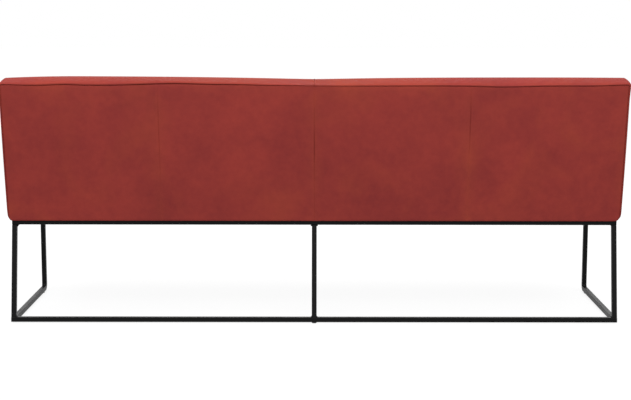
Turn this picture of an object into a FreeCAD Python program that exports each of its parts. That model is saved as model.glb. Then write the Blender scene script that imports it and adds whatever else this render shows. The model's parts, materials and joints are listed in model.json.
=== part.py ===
"""Upholstered dining bench with a backrest on a welded square-tube base.

Millimetres. +X runs along the bench to the sitter's left, +Y to the rear, +Z up.
The origin is on the floor, under the middle of the bench's bounding box.
"""

import FreeCAD, Part
import math
import os

from FreeCAD import Vector

# Overall sizes
overall_width = 2000.0
overall_depth = 610.0
overall_height = 800.0
seat_height = 480.0

# Steel base
base_height = 332.5
tube = 16.0
tube_wall = 1.5
tube_corner = 2.0
side_inset = 12.0
front_inset = 36.0
rear_inset = 15.0
leg_splay = 54.0
bend_radius = 8.0
weld_leg = 4.0
weld_hollow_share = 0.4
weld_margin = 1.5

# Mounting tabs on the base, and the lag bolts that hold the seat to it and the back to the seat
tab_length = 60.0
tab_width = 40.0
tab_thickness = 4.0
tab_corner = 8.0
tab_hole = 43.0
block_height = 30.0
block_length = 60.0
block_setback = 20.0
bolt_radius = 3.0
bolt_clearance = 0.3
bolt_pilot_clearance = 0.05
bolt_head_radius = 5.8
bolt_head_height = 4.0
base_bolt_bite = 24.0
back_bolt_bite = 40.0
back_bolt_spacing = 28.0

# Floor glides and the levelling foot under the rear centre leg
foot_height = 3.5
glide_radius = 7.0
foot_chamfer = 1.0
glide_stem_radius = 2.5
glide_stem_length = 8.0
glide_end_distance = 45.0
stem_clearance = 0.2
level_pad_radius = 8.0
level_stud_radius = 3.0
level_stud_length = 13.0
level_nut_radius = 5.0
level_nut_height = 6.0
running_clearance = 0.05

# Backrest
back_lean = 10.0
back_top_depth = 85.0
back_seat_depth = 112.0
back_tuck = 50.0
top_crown = 15.0
front_crown = 14.0

# Seat
seat_crown = 16.0
seat_front_crown = 4.0

# Leather cover
leather = 1.6
hem = 34.0
side_crown = 6.0
side_shoulder = 3.6
side_shoulder_share = 0.97
side_flat_share = 0.88
seam_width = 2.4
seam_depth = 1.1

# Crown along one half of the bench, from the centre seam to the end:
# share of the half length, share of the full crown
crown_stations = (
    (0.0, 0.47), (0.11, 0.67), (0.40, 0.87), (0.745, 1.0), (0.92, 0.9), (0.985, 0.75), (1.0, 0.45),
)

# Wooden frame, webbing and filling
board = 22.0
board_height = 60.0
frame_pad = 12.0
rear_pad = 6.0
upright = 24.0
upright_count = 4
upright_top_depth = 45.0
upright_foam = 46.0
top_board_gap = 10.0
brace_count = 3
webbing_width = 60.0
webbing_thickness = 2.0
seat_strap_count = 12
seat_cross_strap_count = 4
back_strap_count = 4
back_strap_end_gap = 15.0
soft_clearance = 0.3

# Places that follow from the sizes above
FAR = 2 * overall_width
UP = Vector(0, 0, 1)
LEFT = Vector(1, 0, 0)
REARWARD = Vector(0, 1, 0)
half_width = overall_width / 2
seam_x = half_width - side_crown
frame_x = half_width - side_inset
wood_x = seam_x - frame_pad
back_wood_x = wood_x - board
rear_y = overall_depth / 2
front_y = -overall_depth / 2
lean = math.radians(back_lean)
RISE = (math.sin(lean), math.cos(lean))
OUT = (math.cos(lean), -math.sin(lean))
wood_z = base_height + leather
boards_top_z = wood_z + board_height
seat_edge_z = seat_height - seat_crown
tuck_z = seat_height - back_tuck
rail_z = base_height - tube / 2
floor_z = foot_height + tube / 2


def moved(point, up=0.0, out=0.0):
    """A (y, z) point carried up the leaning back and out to its rear."""
    return (point[0] + up * RISE[0] + out * OUT[0], point[1] + up * RISE[1] + out * OUT[1])


def between(p, q, share):
    """The (y, z) point at a share of the way from p to q."""
    return (p[0] + (q[0] - p[0]) * share, p[1] + (q[1] - p[1]) * share)


def at_height(p, q, z):
    """The (y, z) point at height z on the line through p and q."""
    return between(p, q, (z - p[1]) / (q[1] - p[1]))


def bulge(p, q, crown):
    """The middle of p and q, pushed out by the crown to the left of the way from p to q."""
    length = math.dist(p, q)
    middle = between(p, q, 0.5)
    return (
        middle[0] - crown * (q[1] - p[1]) / length,
        middle[1] + crown * (q[0] - p[0]) / length,
    )


# Corners of the back in side view: rear hem, rear top seam, front top seam, front tuck
top_radius = (back_top_depth ** 2 / 4 + top_crown ** 2) / (2 * top_crown)
top_chord_z = overall_height - top_radius + RISE[1] * (top_radius - top_crown)
BACK_REAR_TOP = (rear_y, top_chord_z - back_top_depth / 2 * RISE[0])
BACK_FRONT_TOP = moved(BACK_REAR_TOP, out=-back_top_depth)
BACK_REAR_LOW = at_height(BACK_REAR_TOP, moved(BACK_REAR_TOP, up=1), base_height)
seat_rear_y = at_height(BACK_REAR_LOW, BACK_REAR_TOP, seat_height)[0] - back_seat_depth
BACK_FRONT_LOW = (seat_rear_y, tuck_z)

# Corners of the seat in side view: front hem and front seam
SEAT_FRONT_LOW = (front_y + seat_front_crown, base_height)
SEAT_FRONT_TOP = (front_y + seat_front_crown, seat_edge_z)

# Outer faces of the steel frame
steel_rear_y = BACK_REAR_LOW[0] - rear_inset
steel_front_y = front_y + front_inset
steel_floor_rear_y = steel_rear_y + leg_splay

# Faces of the wooden frame
front_board_y = front_y + seat_front_crown + leather + frame_pad
front_board_inner_y = front_board_y + board
rear_board_y = seat_rear_y - board
upright_skin = leather + rear_pad
UPRIGHT_REAR_LINE = (moved(BACK_REAR_LOW, out=-upright_skin), moved(BACK_REAR_TOP, out=-upright_skin))
UPRIGHT_REAR_LOW = at_height(*UPRIGHT_REAR_LINE, wood_z)
UPRIGHT_REAR_TOP = moved(BACK_REAR_TOP, up=-top_board_gap - board, out=-upright_skin)
UPRIGHT_FRONT_TOP = moved(UPRIGHT_REAR_TOP, out=-upright_top_depth)
UPRIGHT_FRONT_STEP = (seat_rear_y + leather + upright_foam, tuck_z)

# Where the base bolts stand
side_bolt_x = frame_x - tube - tab_hole
centre_bolt_x = tube / 2 + tab_hole
front_bolt_y = front_board_inner_y + block_setback + block_length / 2
rear_bolt_y = rear_board_y - block_setback - block_length / 2


def block(x0, x1, y0, y1, z0, z1):
    """A box between two corners, given in any order."""
    low = Vector(min(x0, x1), min(y0, y1), min(z0, z1))
    return Part.makeBox(abs(x1 - x0), abs(y1 - y0), abs(z1 - z0), low)


def rod(start, direction, radius, length):
    """A round bar."""
    return Part.makeCylinder(radius, length, start, direction)


def outline(x, segments):
    """A closed wire in the plane at x: two (y, z) points make a line, three an arc."""
    edges = []
    for points in segments:
        ends = [Vector(x, y, z) for y, z in points]
        curve = Part.LineSegment(*ends) if len(ends) == 2 else Part.Arc(*ends)
        edges.append(curve.toShape())
    return Part.Wire(edges)


def polygon(points):
    """Segments of a closed polygon through (y, z) points."""
    return [(p, q) for p, q in zip(points, points[1:] + points[:1])]


def prism(segments, x0, x1):
    """A side-view outline carried along the bench from x0 to x1."""
    return Part.Face(outline(x0, segments)).extrude(Vector(x1 - x0, 0, 0))


def crowned(section, end_x):
    """A half of the bench's length, from the centre seam, with a section drawn for each crown share."""
    wires = [outline(place * end_x, section(share)) for place, share in crown_stations]
    return Part.makeLoft(wires, True, True)


def mirrored(shape):
    """The same piece on the other end of the bench."""
    return shape.mirror(Vector(0, 0, 0), LEFT)


def trimmed(shape, point, normal):
    """The shape without what lies past a plane, on the side its normal points to."""
    cutter = Part.Face(square(FAR)).extrude(UP * FAR)
    cutter.Placement = FreeCAD.Placement(point, FreeCAD.Rotation(UP, normal))
    return shape.cut(cutter)


def spread(count, low, high):
    """Evenly spaced places from low to high."""
    return [low + (high - low) * i / (count - 1) for i in range(count)]


def square(side):
    """A square wire about the origin."""
    corners = [(-1, -1), (1, -1), (1, 1), (-1, 1), (-1, -1)]
    return Part.makePolygon([Vector(a * side / 2, b * side / 2, 0) for a, b in corners])


def tube_section(start, direction):
    """The tube's hollow section, square to a direction: rounded outside, plain inside."""
    outside = square(tube - 2 * tube_corner).makeOffset2D(tube_corner)
    ring = Part.Face(outside).cut(Part.Face(square(tube - 2 * tube_wall)))
    ring.Placement = FreeCAD.Placement(start, FreeCAD.Rotation(UP, direction))
    return ring


def straight_tube(start, end):
    """A tube along its centre line."""
    return tube_section(start, end - start).extrude(end - start)


def mitred_rail(y_outer, z, to_rear):
    """A rail along the bench, mitred at both ends where it meets rails that run front to rear."""
    y = y_outer - to_rear * tube / 2
    rail = straight_tube(Vector(-frame_x, y, z), Vector(frame_x, y, z))
    for end in (-1, 1):
        rail = trimmed(rail, Vector(end * frame_x, y_outer, z), Vector(end, -to_rear, 0))
    return rail


def side_mitre(tube_shape, y_outer, z, to_rear):
    """The left-hand front-to-rear tube, mitred where it meets a rail along the bench."""
    return trimmed(tube_shape, Vector(frame_x, y_outer, z), Vector(-1, to_rear, 0))


def side_top_rail():
    """The left-hand rail of the top frame."""
    x = frame_x - tube / 2
    rail = straight_tube(Vector(x, steel_front_y, rail_z), Vector(x, steel_rear_y, rail_z))
    rail = side_mitre(rail, steel_front_y, rail_z, -1)
    return side_mitre(rail, steel_rear_y, rail_z, 1)


def rear_leg(x):
    """A rear leg that kicks back towards the floor, cut level at both ends."""
    top_y = steel_rear_y - tube / 2
    slope = leg_splay / (rail_z - floor_z)
    foot = Vector(x, top_y + leg_splay, floor_z)
    head = Vector(x, top_y, rail_z)
    over = Vector(0, -slope * tube, tube)
    leg = straight_tube(foot - over, head + over)
    leg = trimmed(leg, Vector(x, 0, base_height - tube), UP)
    return trimmed(leg, Vector(x, 0, foot_height + tube), Vector(0, 0, -1))


def front_sled():
    """The left-hand floor runner that bends up into the front leg, in one length of tube."""
    x = frame_x - tube / 2
    bend_y = steel_front_y + tube + bend_radius
    bend_z = foot_height + tube + bend_radius
    leg_y = steel_front_y + tube / 2
    runner = straight_tube(Vector(x, steel_floor_rear_y, floor_z), Vector(x, bend_y, floor_z))
    start = tube_section(Vector(x, bend_y, floor_z), Vector(0, -1, 0))
    bend = start.revolve(Vector(x, bend_y, bend_z), LEFT, -90)
    leg = straight_tube(Vector(x, leg_y, bend_z), Vector(x, leg_y, base_height - tube))
    sled = side_mitre(runner, steel_floor_rear_y, floor_z, 1).fuse([bend, leg]).removeSplitter()
    return sled.cut([underside_hole(x, y, glide_stem_radius) for y in glide_places()])


def underside_hole(x, y, radius):
    """A drill for the lower wall of a floor tube."""
    return rod(Vector(x, y, foot_height - tube_wall), UP, radius + stem_clearance, 3 * tube_wall)


def glide_places():
    """Front and rear glide on a runner."""
    front = steel_front_y + tube + bend_radius + glide_end_distance / 2
    return (front, steel_floor_rear_y - tube - glide_end_distance)


def rear_floor_rail():
    """The rail on the floor, drilled underneath for the levelling foot's stud."""
    rail = mitred_rail(steel_floor_rear_y, floor_z, 1)
    return rail.cut(underside_hole(0, level_y(), level_stud_radius))


def level_y():
    """The levelling foot stands under the middle of the rear floor rail."""
    return steel_floor_rear_y - tube / 2


def centre_top_rail():
    """The rail from front to rear under the middle of the seat."""
    return straight_tube(Vector(0, steel_front_y + tube, rail_z), Vector(0, steel_rear_y - tube, rail_z))


def base_bolt_places():
    """(x, y) of each base bolt with the direction from its rail, along x, to the bolt."""
    columns = ((side_bolt_x, -1), (centre_bolt_x, 1), (-centre_bolt_x, -1), (-side_bolt_x, 1))
    return [(x, y, way) for x, way in columns for y in (front_bolt_y, rear_bolt_y)]


def upright_edges(shape, x):
    """The upright edges of a block's face at x."""
    at_face = [edge for edge in shape.Edges if round(edge.CenterOfMass.x - x, 3) == 0]
    return [edge for edge in at_face if edge.BoundBox.ZLength > edge.BoundBox.YLength]


def mounting_tab(x, y, way):
    """A flat tab welded to a rail's side, level with its top, with round corners and a bolt hole."""
    root = x - way * tab_hole
    tip = root + way * tab_length
    half = tab_width / 2
    tab = block(root, tip, y - half, y + half, base_height - tab_thickness, base_height)
    tab = tab.makeFillet(tab_corner, upright_edges(tab, tip))
    return tab.cut(rod(Vector(x, y, 0), UP, bolt_radius + bolt_clearance, base_height * 2))


def weld_bead(corner, side, up, along):
    """A hollow-faced fillet weld in an inside corner. side and up point along the two faces."""
    start = corner - along * (tube / 2 - weld_margin)
    a = start + side * weld_leg
    b = start + up * weld_leg
    hollow = start + (side + up) * weld_leg * weld_hollow_share
    face = Part.Face(Part.Wire([
        Part.LineSegment(start, a).toShape(),
        Part.Arc(a, hollow, b).toShape(),
        Part.LineSegment(b, start).toShape(),
    ]))
    return face.extrude(along * (tube - 2 * weld_margin))


def weld_beads():
    """Welds inside the corners of the legs and of the centre rail."""
    inner = frame_x - tube
    top = base_height - tube
    beads = []
    for x, side in ((inner, -LEFT), (-inner, LEFT), (tube / 2, LEFT), (-tube / 2, -LEFT)):
        beads.append(weld_bead(Vector(x, steel_rear_y - tube / 2, top), side, -UP, REARWARD))
        beads.append(weld_bead(Vector(x, level_y(), foot_height + tube), side, UP, REARWARD))
    for x, side in ((inner, -LEFT), (-inner, LEFT)):
        beads.append(weld_bead(Vector(x, steel_front_y + tube / 2, top), side, -UP, REARWARD))
    for y, inward in ((steel_front_y + tube, REARWARD), (steel_rear_y - tube, -REARWARD)):
        for x, side in ((tube / 2, LEFT), (-tube / 2, -LEFT)):
            beads.append(weld_bead(Vector(x, y, rail_z), side, inward, UP))
    return beads


def floor_glide(x, y):
    """A round plastic glide with a stem pressed into the runner."""
    return foot(x, y, glide_radius, glide_stem_radius, glide_stem_length)


def foot(x, y, pad_radius, stem_radius, stem_length):
    """A round pad on the floor with its lower edge broken, and a stem that stands on it, turned in one."""
    stem_top = foot_height + stem_length
    radii_and_heights = [
        (0, 0), (pad_radius - foot_chamfer, 0), (pad_radius, foot_chamfer), (pad_radius, foot_height),
        (stem_radius, foot_height), (stem_radius, stem_top), (0, stem_top), (0, 0),
    ]
    side = Part.makePolygon([Vector(radius, 0, z) for radius, z in radii_and_heights])
    return Part.Face(side).revolve(Vector(0, 0, 0), UP, 360).translated(Vector(x, y, 0))


def levelling_foot():
    """The screw-in foot under the rear centre leg: pad and stud."""
    return foot(0, level_y(), level_pad_radius, level_stud_radius, level_stud_length)


def levelling_nut():
    """The nut inside the floor rail that takes the foot's stud."""
    seat = Vector(0, level_y(), foot_height + tube_wall)
    nut = rod(seat, UP, level_nut_radius, level_nut_height)
    return nut.cut(rod(seat, UP, level_stud_radius + running_clearance, level_nut_height))


def lag_bolt(start, direction, shank):
    """A hexagon-head wood bolt whose head stands before its start and whose shank runs on from it."""
    corners = [math.radians(60 * i) for i in range(7)]
    hexagon = [Vector(math.cos(a), math.sin(a), 0) * bolt_head_radius for a in corners]
    head = Part.Face(Part.makePolygon(hexagon)).extrude(-UP * bolt_head_height)
    piece = head.fuse(rod(Vector(0, 0, 0), UP, bolt_radius, shank))
    piece.Placement = FreeCAD.Placement(start, FreeCAD.Rotation(UP, direction))
    return piece


def base_bolt(x, y):
    """A bolt from under a tab up into its block."""
    start = Vector(x, y, base_height - tab_thickness)
    return lag_bolt(start, UP, tab_thickness + leather + base_bolt_bite)


def mount_block(x, y):
    """A wooden block glued inside the seat frame over a tab."""
    face = math.copysign(back_wood_x if abs(x) == side_bolt_x else board / 2, x)
    half = block_length / 2
    piece = block(face, 2 * x - face, y - half, y + half, wood_z, wood_z + block_height)
    radius = bolt_radius + bolt_pilot_clearance
    return piece.cut(rod(Vector(x, y, wood_z), UP, radius, base_bolt_bite + bolt_clearance))


def upright_places():
    """The middle of each upright along the bench."""
    reach = back_wood_x - upright / 2
    return spread(upright_count, reach, -reach)


def back_bolt_places():
    """(x, z) of each bolt through the rear board into an upright."""
    middle = wood_z + board_height / 2
    return [(x, middle + end * back_bolt_spacing / 2) for x in upright_places() for end in (-1, 1)]


def back_bolt(x, z):
    """A bolt from the front of the rear board into an upright."""
    return lag_bolt(Vector(x, rear_board_y, z), REARWARD, board + back_bolt_bite)


def back_bolt_hole(x, z):
    """The hole for a back bolt through the rear board and into an upright."""
    radius = bolt_radius + bolt_pilot_clearance
    return rod(Vector(x, rear_board_y, z), REARWARD, radius, board + back_bolt_bite + bolt_clearance)


def back_upright(x):
    """A plywood upright: a deep foot behind the seat, then a post that leans and tapers to the top board."""
    side = polygon([
        UPRIGHT_REAR_LOW, UPRIGHT_REAR_TOP, UPRIGHT_FRONT_TOP, UPRIGHT_FRONT_STEP,
        BACK_FRONT_LOW, (seat_rear_y, wood_z),
    ])
    post = prism(side, x - upright / 2, x + upright / 2)
    return post.cut([back_bolt_hole(x, z) for bolt_x, z in back_bolt_places() if bolt_x == x])


def back_top_board():
    """The board along the top of the uprights."""
    low_front = UPRIGHT_FRONT_TOP
    low_rear = UPRIGHT_REAR_TOP
    side = polygon([low_rear, moved(low_rear, up=board), moved(low_front, up=board), low_front])
    return prism(side, -back_wood_x, back_wood_x)


def seat_rear_board():
    """The rear board of the seat, drilled for the back bolts."""
    piece = block(-back_wood_x, back_wood_x, rear_board_y, seat_rear_y, wood_z, boards_top_z)
    return piece.cut([back_bolt_hole(x, z) for x, z in back_bolt_places()])


def seat_front_board():
    """The front board of the seat."""
    return block(-wood_x, wood_x, front_board_y, front_board_inner_y, wood_z, boards_top_z)


def seat_side_board():
    """The left-hand side board, which runs on under the back."""
    return block(back_wood_x, wood_x, front_board_inner_y, UPRIGHT_REAR_LOW[0], wood_z, boards_top_z)


def seat_cross_braces():
    """Braces from the front board to the rear board."""
    reach = back_wood_x / 2
    half = board / 2
    return [
        block(x - half, x + half, front_board_inner_y, rear_board_y, wood_z, boards_top_z)
        for x in spread(brace_count, -reach, reach)
    ]


def seat_webbing():
    """Elastic straps over the seat frame: front to rear, then along the bench on top of them."""
    middle = boards_top_z + webbing_thickness
    top = middle + webbing_thickness
    half = webbing_width / 2
    reach = wood_x - board - half
    columns = spread(seat_strap_count, -reach, reach)
    rows = spread(seat_cross_strap_count, front_board_inner_y + half, rear_board_y - half)
    straps = [block(x - half, x + half, front_board_y, seat_rear_y, boards_top_z, middle) for x in columns]
    return straps + [block(-wood_x, wood_x, y - half, y + half, middle, top) for y in rows]


def back_webbing():
    """Elastic straps along the front of the uprights."""
    length = math.dist(UPRIGHT_FRONT_STEP, UPRIGHT_FRONT_TOP)
    half = webbing_width / 2 / length
    first = half + back_strap_end_gap / length
    straps = []
    for middle in spread(back_strap_count, first, 1 - first):
        low = between(UPRIGHT_FRONT_STEP, UPRIGHT_FRONT_TOP, middle - half)
        high = between(UPRIGHT_FRONT_STEP, UPRIGHT_FRONT_TOP, middle + half)
        side = polygon([low, high, webbing_front(high), webbing_front(low)])
        straps.append(prism(side, -back_wood_x, back_wood_x))
    return straps


def webbing_front(point):
    """A point on the uprights' front edge carried to the front of the webbing."""
    step, top = UPRIGHT_FRONT_STEP, UPRIGHT_FRONT_TOP
    length = math.dist(step, top)
    return (
        point[0] - webbing_thickness * (top[1] - step[1]) / length,
        point[1] + webbing_thickness * (top[0] - step[0]) / length,
    )


def back_section(share, skin):
    """Side view of the back for a crown share, drawn in by a skin all round but at its foot."""
    rear = moved(BACK_REAR_TOP, up=-skin, out=-skin)
    low = at_height(moved(BACK_REAR_LOW, out=-skin), rear, base_height + min(skin, leather))
    front = moved(BACK_FRONT_TOP, up=-skin, out=skin)
    tuck = (seat_rear_y + skin, tuck_z)
    foot = (seat_rear_y + skin, low[1])
    crest = moved(bulge(BACK_FRONT_TOP, BACK_REAR_TOP, top_crown * share), up=-skin)
    swell = bulge(tuck, front, front_crown * share)
    return [(low, rear), (rear, crest, front), (front, swell, tuck), (tuck, foot), (foot, low)]


def back_strip(index):
    """A cover strip of the back: one side of the outer section with the same side of the inner one."""
    def section(share):
        outer = back_section(share, 0)[index]
        inner = back_section(share, leather)[index]
        return [outer, (outer[-1], inner[-1]), inner[::-1], (inner[0], outer[0])]
    return crowned(section, seam_x)


def rear_panel(x0, x1):
    """A quarter of the rear cover with its hem turned under the frame and its sewn edges rolled in."""
    inner_low, inner_top = back_section(0, leather)[0]
    hem_y = BACK_REAR_LOW[0] - hem
    turned_under = [(hem_y, wood_z), (hem_y, base_height)]
    panel = prism(polygon([BACK_REAR_LOW, BACK_REAR_TOP, inner_top, inner_low] + turned_under), x0, x1)
    return panel.cut([seam_groove(BACK_REAR_LOW, BACK_REAR_TOP, x) for x in (x0, x1) if x < seam_x])


def seam_groove(p, q, x):
    """The groove of a seam that runs from p to q in the plane at x, open to the rear."""
    half = seam_width / 2
    start = Vector(x, *p)
    bottom = start - Vector(0, *OUT) * seam_depth
    lips = [start + LEFT * half, start - LEFT * half]
    face = Part.Face(Part.makePolygon([lips[0], bottom, lips[1], lips[0]]))
    return face.extrude(Vector(x, *q) - start)


def seat_section(share, skin):
    """Side view of the seat for a crown share, drawn in by a skin at its front, top and rear."""
    low = (SEAT_FRONT_LOW[0] + skin, base_height + min(skin, leather))
    front = (SEAT_FRONT_TOP[0] + skin, seat_edge_z - skin)
    rear = (seat_rear_y - max(skin - leather, 0), seat_edge_z - skin)
    foot = (rear[0], low[1])
    swell = bulge(low, front, seat_front_crown)
    crest = (bulge(front, rear, seat_crown * share)[0], seat_edge_z - skin + seat_crown * share)
    return [(low, swell, front), (front, crest, rear), (rear, foot), (foot, low)]


def seat_top_panel():
    """The left-hand top panel of the seat."""
    def section(share):
        outer = seat_section(share, 0)[1]
        inner = seat_section(share, leather)[1]
        return [outer, (outer[-1], inner[-1]), inner[::-1], (inner[0], outer[0])]
    return crowned(section, seam_x)


def seat_front_band():
    """The left-hand front band of the seat with its hem turned under the frame."""
    outer = seat_section(1, 0)[0]
    inner = seat_section(1, leather)[0]
    hem_y = SEAT_FRONT_LOW[0] + hem
    side = [
        outer, (outer[-1], inner[-1]), inner[::-1], (inner[0], (hem_y, wood_z)),
        ((hem_y, wood_z), (hem_y, base_height)), ((hem_y, base_height), outer[0]),
    ]
    return prism(side, 0, seam_x)


def side_panel(section):
    """The left-hand end cover over a side view: a sheet that swells out from its seams."""
    segments = section(crown_stations[-1][1], 0)
    corners = [segment[0] for segment in segments]
    middle = (sum(y for y, z in corners) / len(corners), sum(z for y, z in corners) / len(corners))
    swollen = []
    steps = ((0.0, 1.0), (side_shoulder, side_shoulder_share), (side_crown, side_flat_share))
    for out, share in steps:
        drawn_in = [tuple(between(middle, p, share) for p in segment) for segment in segments]
        swollen.append(outline(seam_x + out, drawn_in))
    dome = Part.makeLoft(swollen, True, True)
    return dome.cut(dome.translated(Vector(-leather, 0, 0)))


def back_foam():
    """The left-hand back filling: in front of the webbing, over the top board and round the end."""
    skin = leather + soft_clearance
    filling = crowned(lambda share: back_section(share, skin), seam_x)
    board_top_rear = moved(UPRIGHT_REAR_TOP, up=board)
    board_top_front = moved(UPRIGHT_FRONT_TOP, up=board)
    board_line_far = between(board_top_front, board_top_rear, overall_depth / upright_top_depth)
    front_low = webbing_front(UPRIGHT_FRONT_STEP)
    front_top = webbing_front(UPRIGHT_FRONT_TOP)
    over_board = at_line(front_low, front_top, board_top_front, board_top_rear)
    core = prism(polygon([
        (board_line_far[0], 0), board_line_far, over_board, at_height(front_low, front_top, tuck_z),
        (front_y, tuck_z), (front_y, 0),
    ]), -back_wood_x, back_wood_x)
    side_board = block(0, wood_x, front_y, UPRIGHT_REAR_LOW[0], 0, boards_top_z)
    return filling.cut([core, side_board])


def at_line(p, q, r, s):
    """Where the line through p and q crosses the line through r and s, as (y, z) points."""
    dy, dz = q[0] - p[0], q[1] - p[1]
    ey, ez = s[0] - r[0], s[1] - r[1]
    share = ((r[0] - p[0]) * ez - (r[1] - p[1]) * ey) / (dy * ez - dz * ey)
    return between(p, q, share)


def rear_padding():
    """The thin sheet behind the rear cover, up to the top board's upper face."""
    low_out, top_out = back_section(0, leather)[0]
    top_out = moved(BACK_REAR_TOP, up=-top_board_gap, out=-leather)
    top_in = moved(top_out, out=-rear_pad)
    return prism(polygon([low_out, top_out, top_in, UPRIGHT_REAR_LOW]), -back_wood_x, back_wood_x)


def seat_foam():
    """The left-hand seat filling, with skirts over the front and the end of the wooden frame."""
    skin = leather + soft_clearance
    filling = crowned(lambda share: seat_section(share, skin), seam_x)
    top = boards_top_z + 2 * webbing_thickness
    return filling.cut(block(-wood_x, wood_x, front_board_y, rear_y, 0, top))


def dust_cover():
    """The black cloth under the seat, between the front and rear hems."""
    cloth = block(-seam_x, seam_x, SEAT_FRONT_LOW[0] + hem, BACK_REAR_LOW[0] - hem, base_height, wood_z)
    slit = bolt_radius + bolt_clearance
    return cloth.cut([
        block(x - slit, x + slit, y - slit, y + slit, 0, overall_height) for x, y, way in base_bolt_places()
    ])


def save(name, *shapes):
    """Writes one node from one or more solids."""
    shape = shapes[0] if len(shapes) == 1 else Part.makeCompound(list(shapes))
    if not shape.isValid() or shape.Volume <= 0:
        raise ValueError(name + " is not a sound solid")
    shape.exportStep(os.path.join("parts", name + ".step"))
    print(name, len(shape.Solids), round(shape.Volume / 1000, 1), "cm3")


def save_pair(name, left):
    """Writes a left-hand piece and its mirror image on the right."""
    save(name + "_left", left)
    save(name + "_right", mirrored(left))


def build_base():
    save_pair("rear_leg", rear_leg(frame_x - tube / 2))
    save("rear_centre_leg", rear_leg(0))
    save("rear_floor_rail", rear_floor_rail())
    save("rear_top_rail", mitred_rail(steel_rear_y, rail_z, 1))
    save("front_top_rail", mitred_rail(steel_front_y, rail_z, -1))
    save_pair("side_top_rail", side_top_rail())
    save("centre_top_rail", centre_top_rail())
    save_pair("front_sled", front_sled())
    save("mounting_tabs", *[mounting_tab(*place) for place in base_bolt_places()])
    save("weld_beads", *weld_beads())


def build_feet():
    runner_x = frame_x - tube / 2
    save("floor_glides", *[floor_glide(x, y) for x in (runner_x, -runner_x) for y in glide_places()])
    save("levelling_foot", levelling_foot())
    save("levelling_nut", levelling_nut())


def build_fasteners():
    save("base_bolts", *[base_bolt(x, y) for x, y, way in base_bolt_places()])
    save("back_bolts", *[back_bolt(x, z) for x, z in back_bolt_places()])


def build_wood():
    save("seat_front_board", seat_front_board())
    save("seat_rear_board", seat_rear_board())
    save_pair("seat_side_board", seat_side_board())
    save("seat_cross_braces", *seat_cross_braces())
    save("seat_mount_blocks", *[mount_block(x, y) for x, y, way in base_bolt_places()])
    for number, x in enumerate(upright_places(), 1):
        save("back_upright_" + str(number), back_upright(x))
    save("back_top_board", back_top_board())


def build_filling():
    save("seat_webbing", *seat_webbing())
    save("back_webbing", *back_webbing())
    save_pair("seat_foam", seat_foam())
    save_pair("back_foam", back_foam())
    save("rear_padding", rear_padding())


def build_cover():
    save_pair("rear_panel_outer", rear_panel(seam_x / 2, seam_x))
    save_pair("rear_panel_inner", rear_panel(0, seam_x / 2))
    save_pair("top_band", back_strip(1))
    save_pair("back_front_panel", back_strip(2))
    save_pair("back_side_panel", side_panel(back_section))
    save_pair("seat_top_panel", seat_top_panel())
    save_pair("seat_front_band", seat_front_band())
    save_pair("seat_side_panel", side_panel(seat_section))
    save("dust_cover", dust_cover())


os.makedirs("parts", exist_ok=True)
build_base()
build_feet()
build_fasteners()
build_wood()
build_filling()
build_cover()
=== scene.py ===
"""Looks of an upholstered dining bench on a welded square-tube base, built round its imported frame.

Metres. +X runs along the bench to the sitter's left, +Y to the rear, +Z up.
"""

import json
import math
from types import SimpleNamespace

import bpy
import numpy as np
from bpy.props import FloatProperty, FloatVectorProperty, IntProperty, PointerProperty
from mathutils import Euler, Matrix, Vector


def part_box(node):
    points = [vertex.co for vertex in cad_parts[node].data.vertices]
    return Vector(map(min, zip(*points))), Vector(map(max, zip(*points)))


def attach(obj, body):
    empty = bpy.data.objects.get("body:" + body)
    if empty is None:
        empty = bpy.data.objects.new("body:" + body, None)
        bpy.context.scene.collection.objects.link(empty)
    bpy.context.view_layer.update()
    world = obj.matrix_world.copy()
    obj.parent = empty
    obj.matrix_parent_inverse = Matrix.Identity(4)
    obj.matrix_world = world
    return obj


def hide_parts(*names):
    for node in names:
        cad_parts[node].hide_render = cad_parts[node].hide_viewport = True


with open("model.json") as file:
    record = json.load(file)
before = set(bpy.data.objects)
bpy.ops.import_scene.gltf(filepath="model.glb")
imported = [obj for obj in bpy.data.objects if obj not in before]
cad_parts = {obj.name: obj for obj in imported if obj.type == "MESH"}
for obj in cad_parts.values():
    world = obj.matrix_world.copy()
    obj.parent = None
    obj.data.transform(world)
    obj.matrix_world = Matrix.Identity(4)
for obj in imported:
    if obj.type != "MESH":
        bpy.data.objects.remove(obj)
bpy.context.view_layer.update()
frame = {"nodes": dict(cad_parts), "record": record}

bl_info = {
    "name": "Dining bench",
    "version": (1, 0, 0),
    "blender": (4, 5, 0),
    "location": "View3D > Sidebar > Bench",
    "description": "Leather upholstery, finishes and stage of a dining bench with a back",
    "category": "Object",
}

# Places that the frame gives
REAR_LOW, REAR_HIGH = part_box("rear_panel_inner_left")
BAND_LOW, BAND_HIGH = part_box("top_band_left")
FRONT_LOW, FRONT_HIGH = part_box("back_front_panel_left")
SEAT_LOW, SEAT_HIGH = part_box("seat_top_panel_left")
CLOTH_LOW, CLOTH_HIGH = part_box("dust_cover")
BOLT_LOW, BOLT_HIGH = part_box("base_bolts")
FOOT_LOW, FOOT_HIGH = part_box("levelling_foot")
SEAM_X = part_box("back_side_panel_left")[0].x
APRON_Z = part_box("seat_front_band_left")[1].z
TAB_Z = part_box("mounting_tabs")[0].z
FLOOR_RAIL_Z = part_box("rear_floor_rail")[0].z
FRONT_RAIL_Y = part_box("front_top_rail")[1].y
SIDE_RAIL_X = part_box("side_top_rail_left")[0].x
CENTRE_RAIL_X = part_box("centre_top_rail")[1].x
BASE_Z = REAR_LOW.z
SEAT_REAR_Y = SEAT_HIGH.y
BENCH = "bench"
LEATHER_NODES = [
    node["node"] for node in frame["record"]["subparts"] if node["material_slot"] == "leather"
]

# Fineness of the meshes: a distance that counts as none, and cuts across a round corner, a roll and a weld
ON_CUT = 1e-5
CORNER_CUTS = 3
ROLL_CUTS = 6
WELD_CUTS = 4


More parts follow.
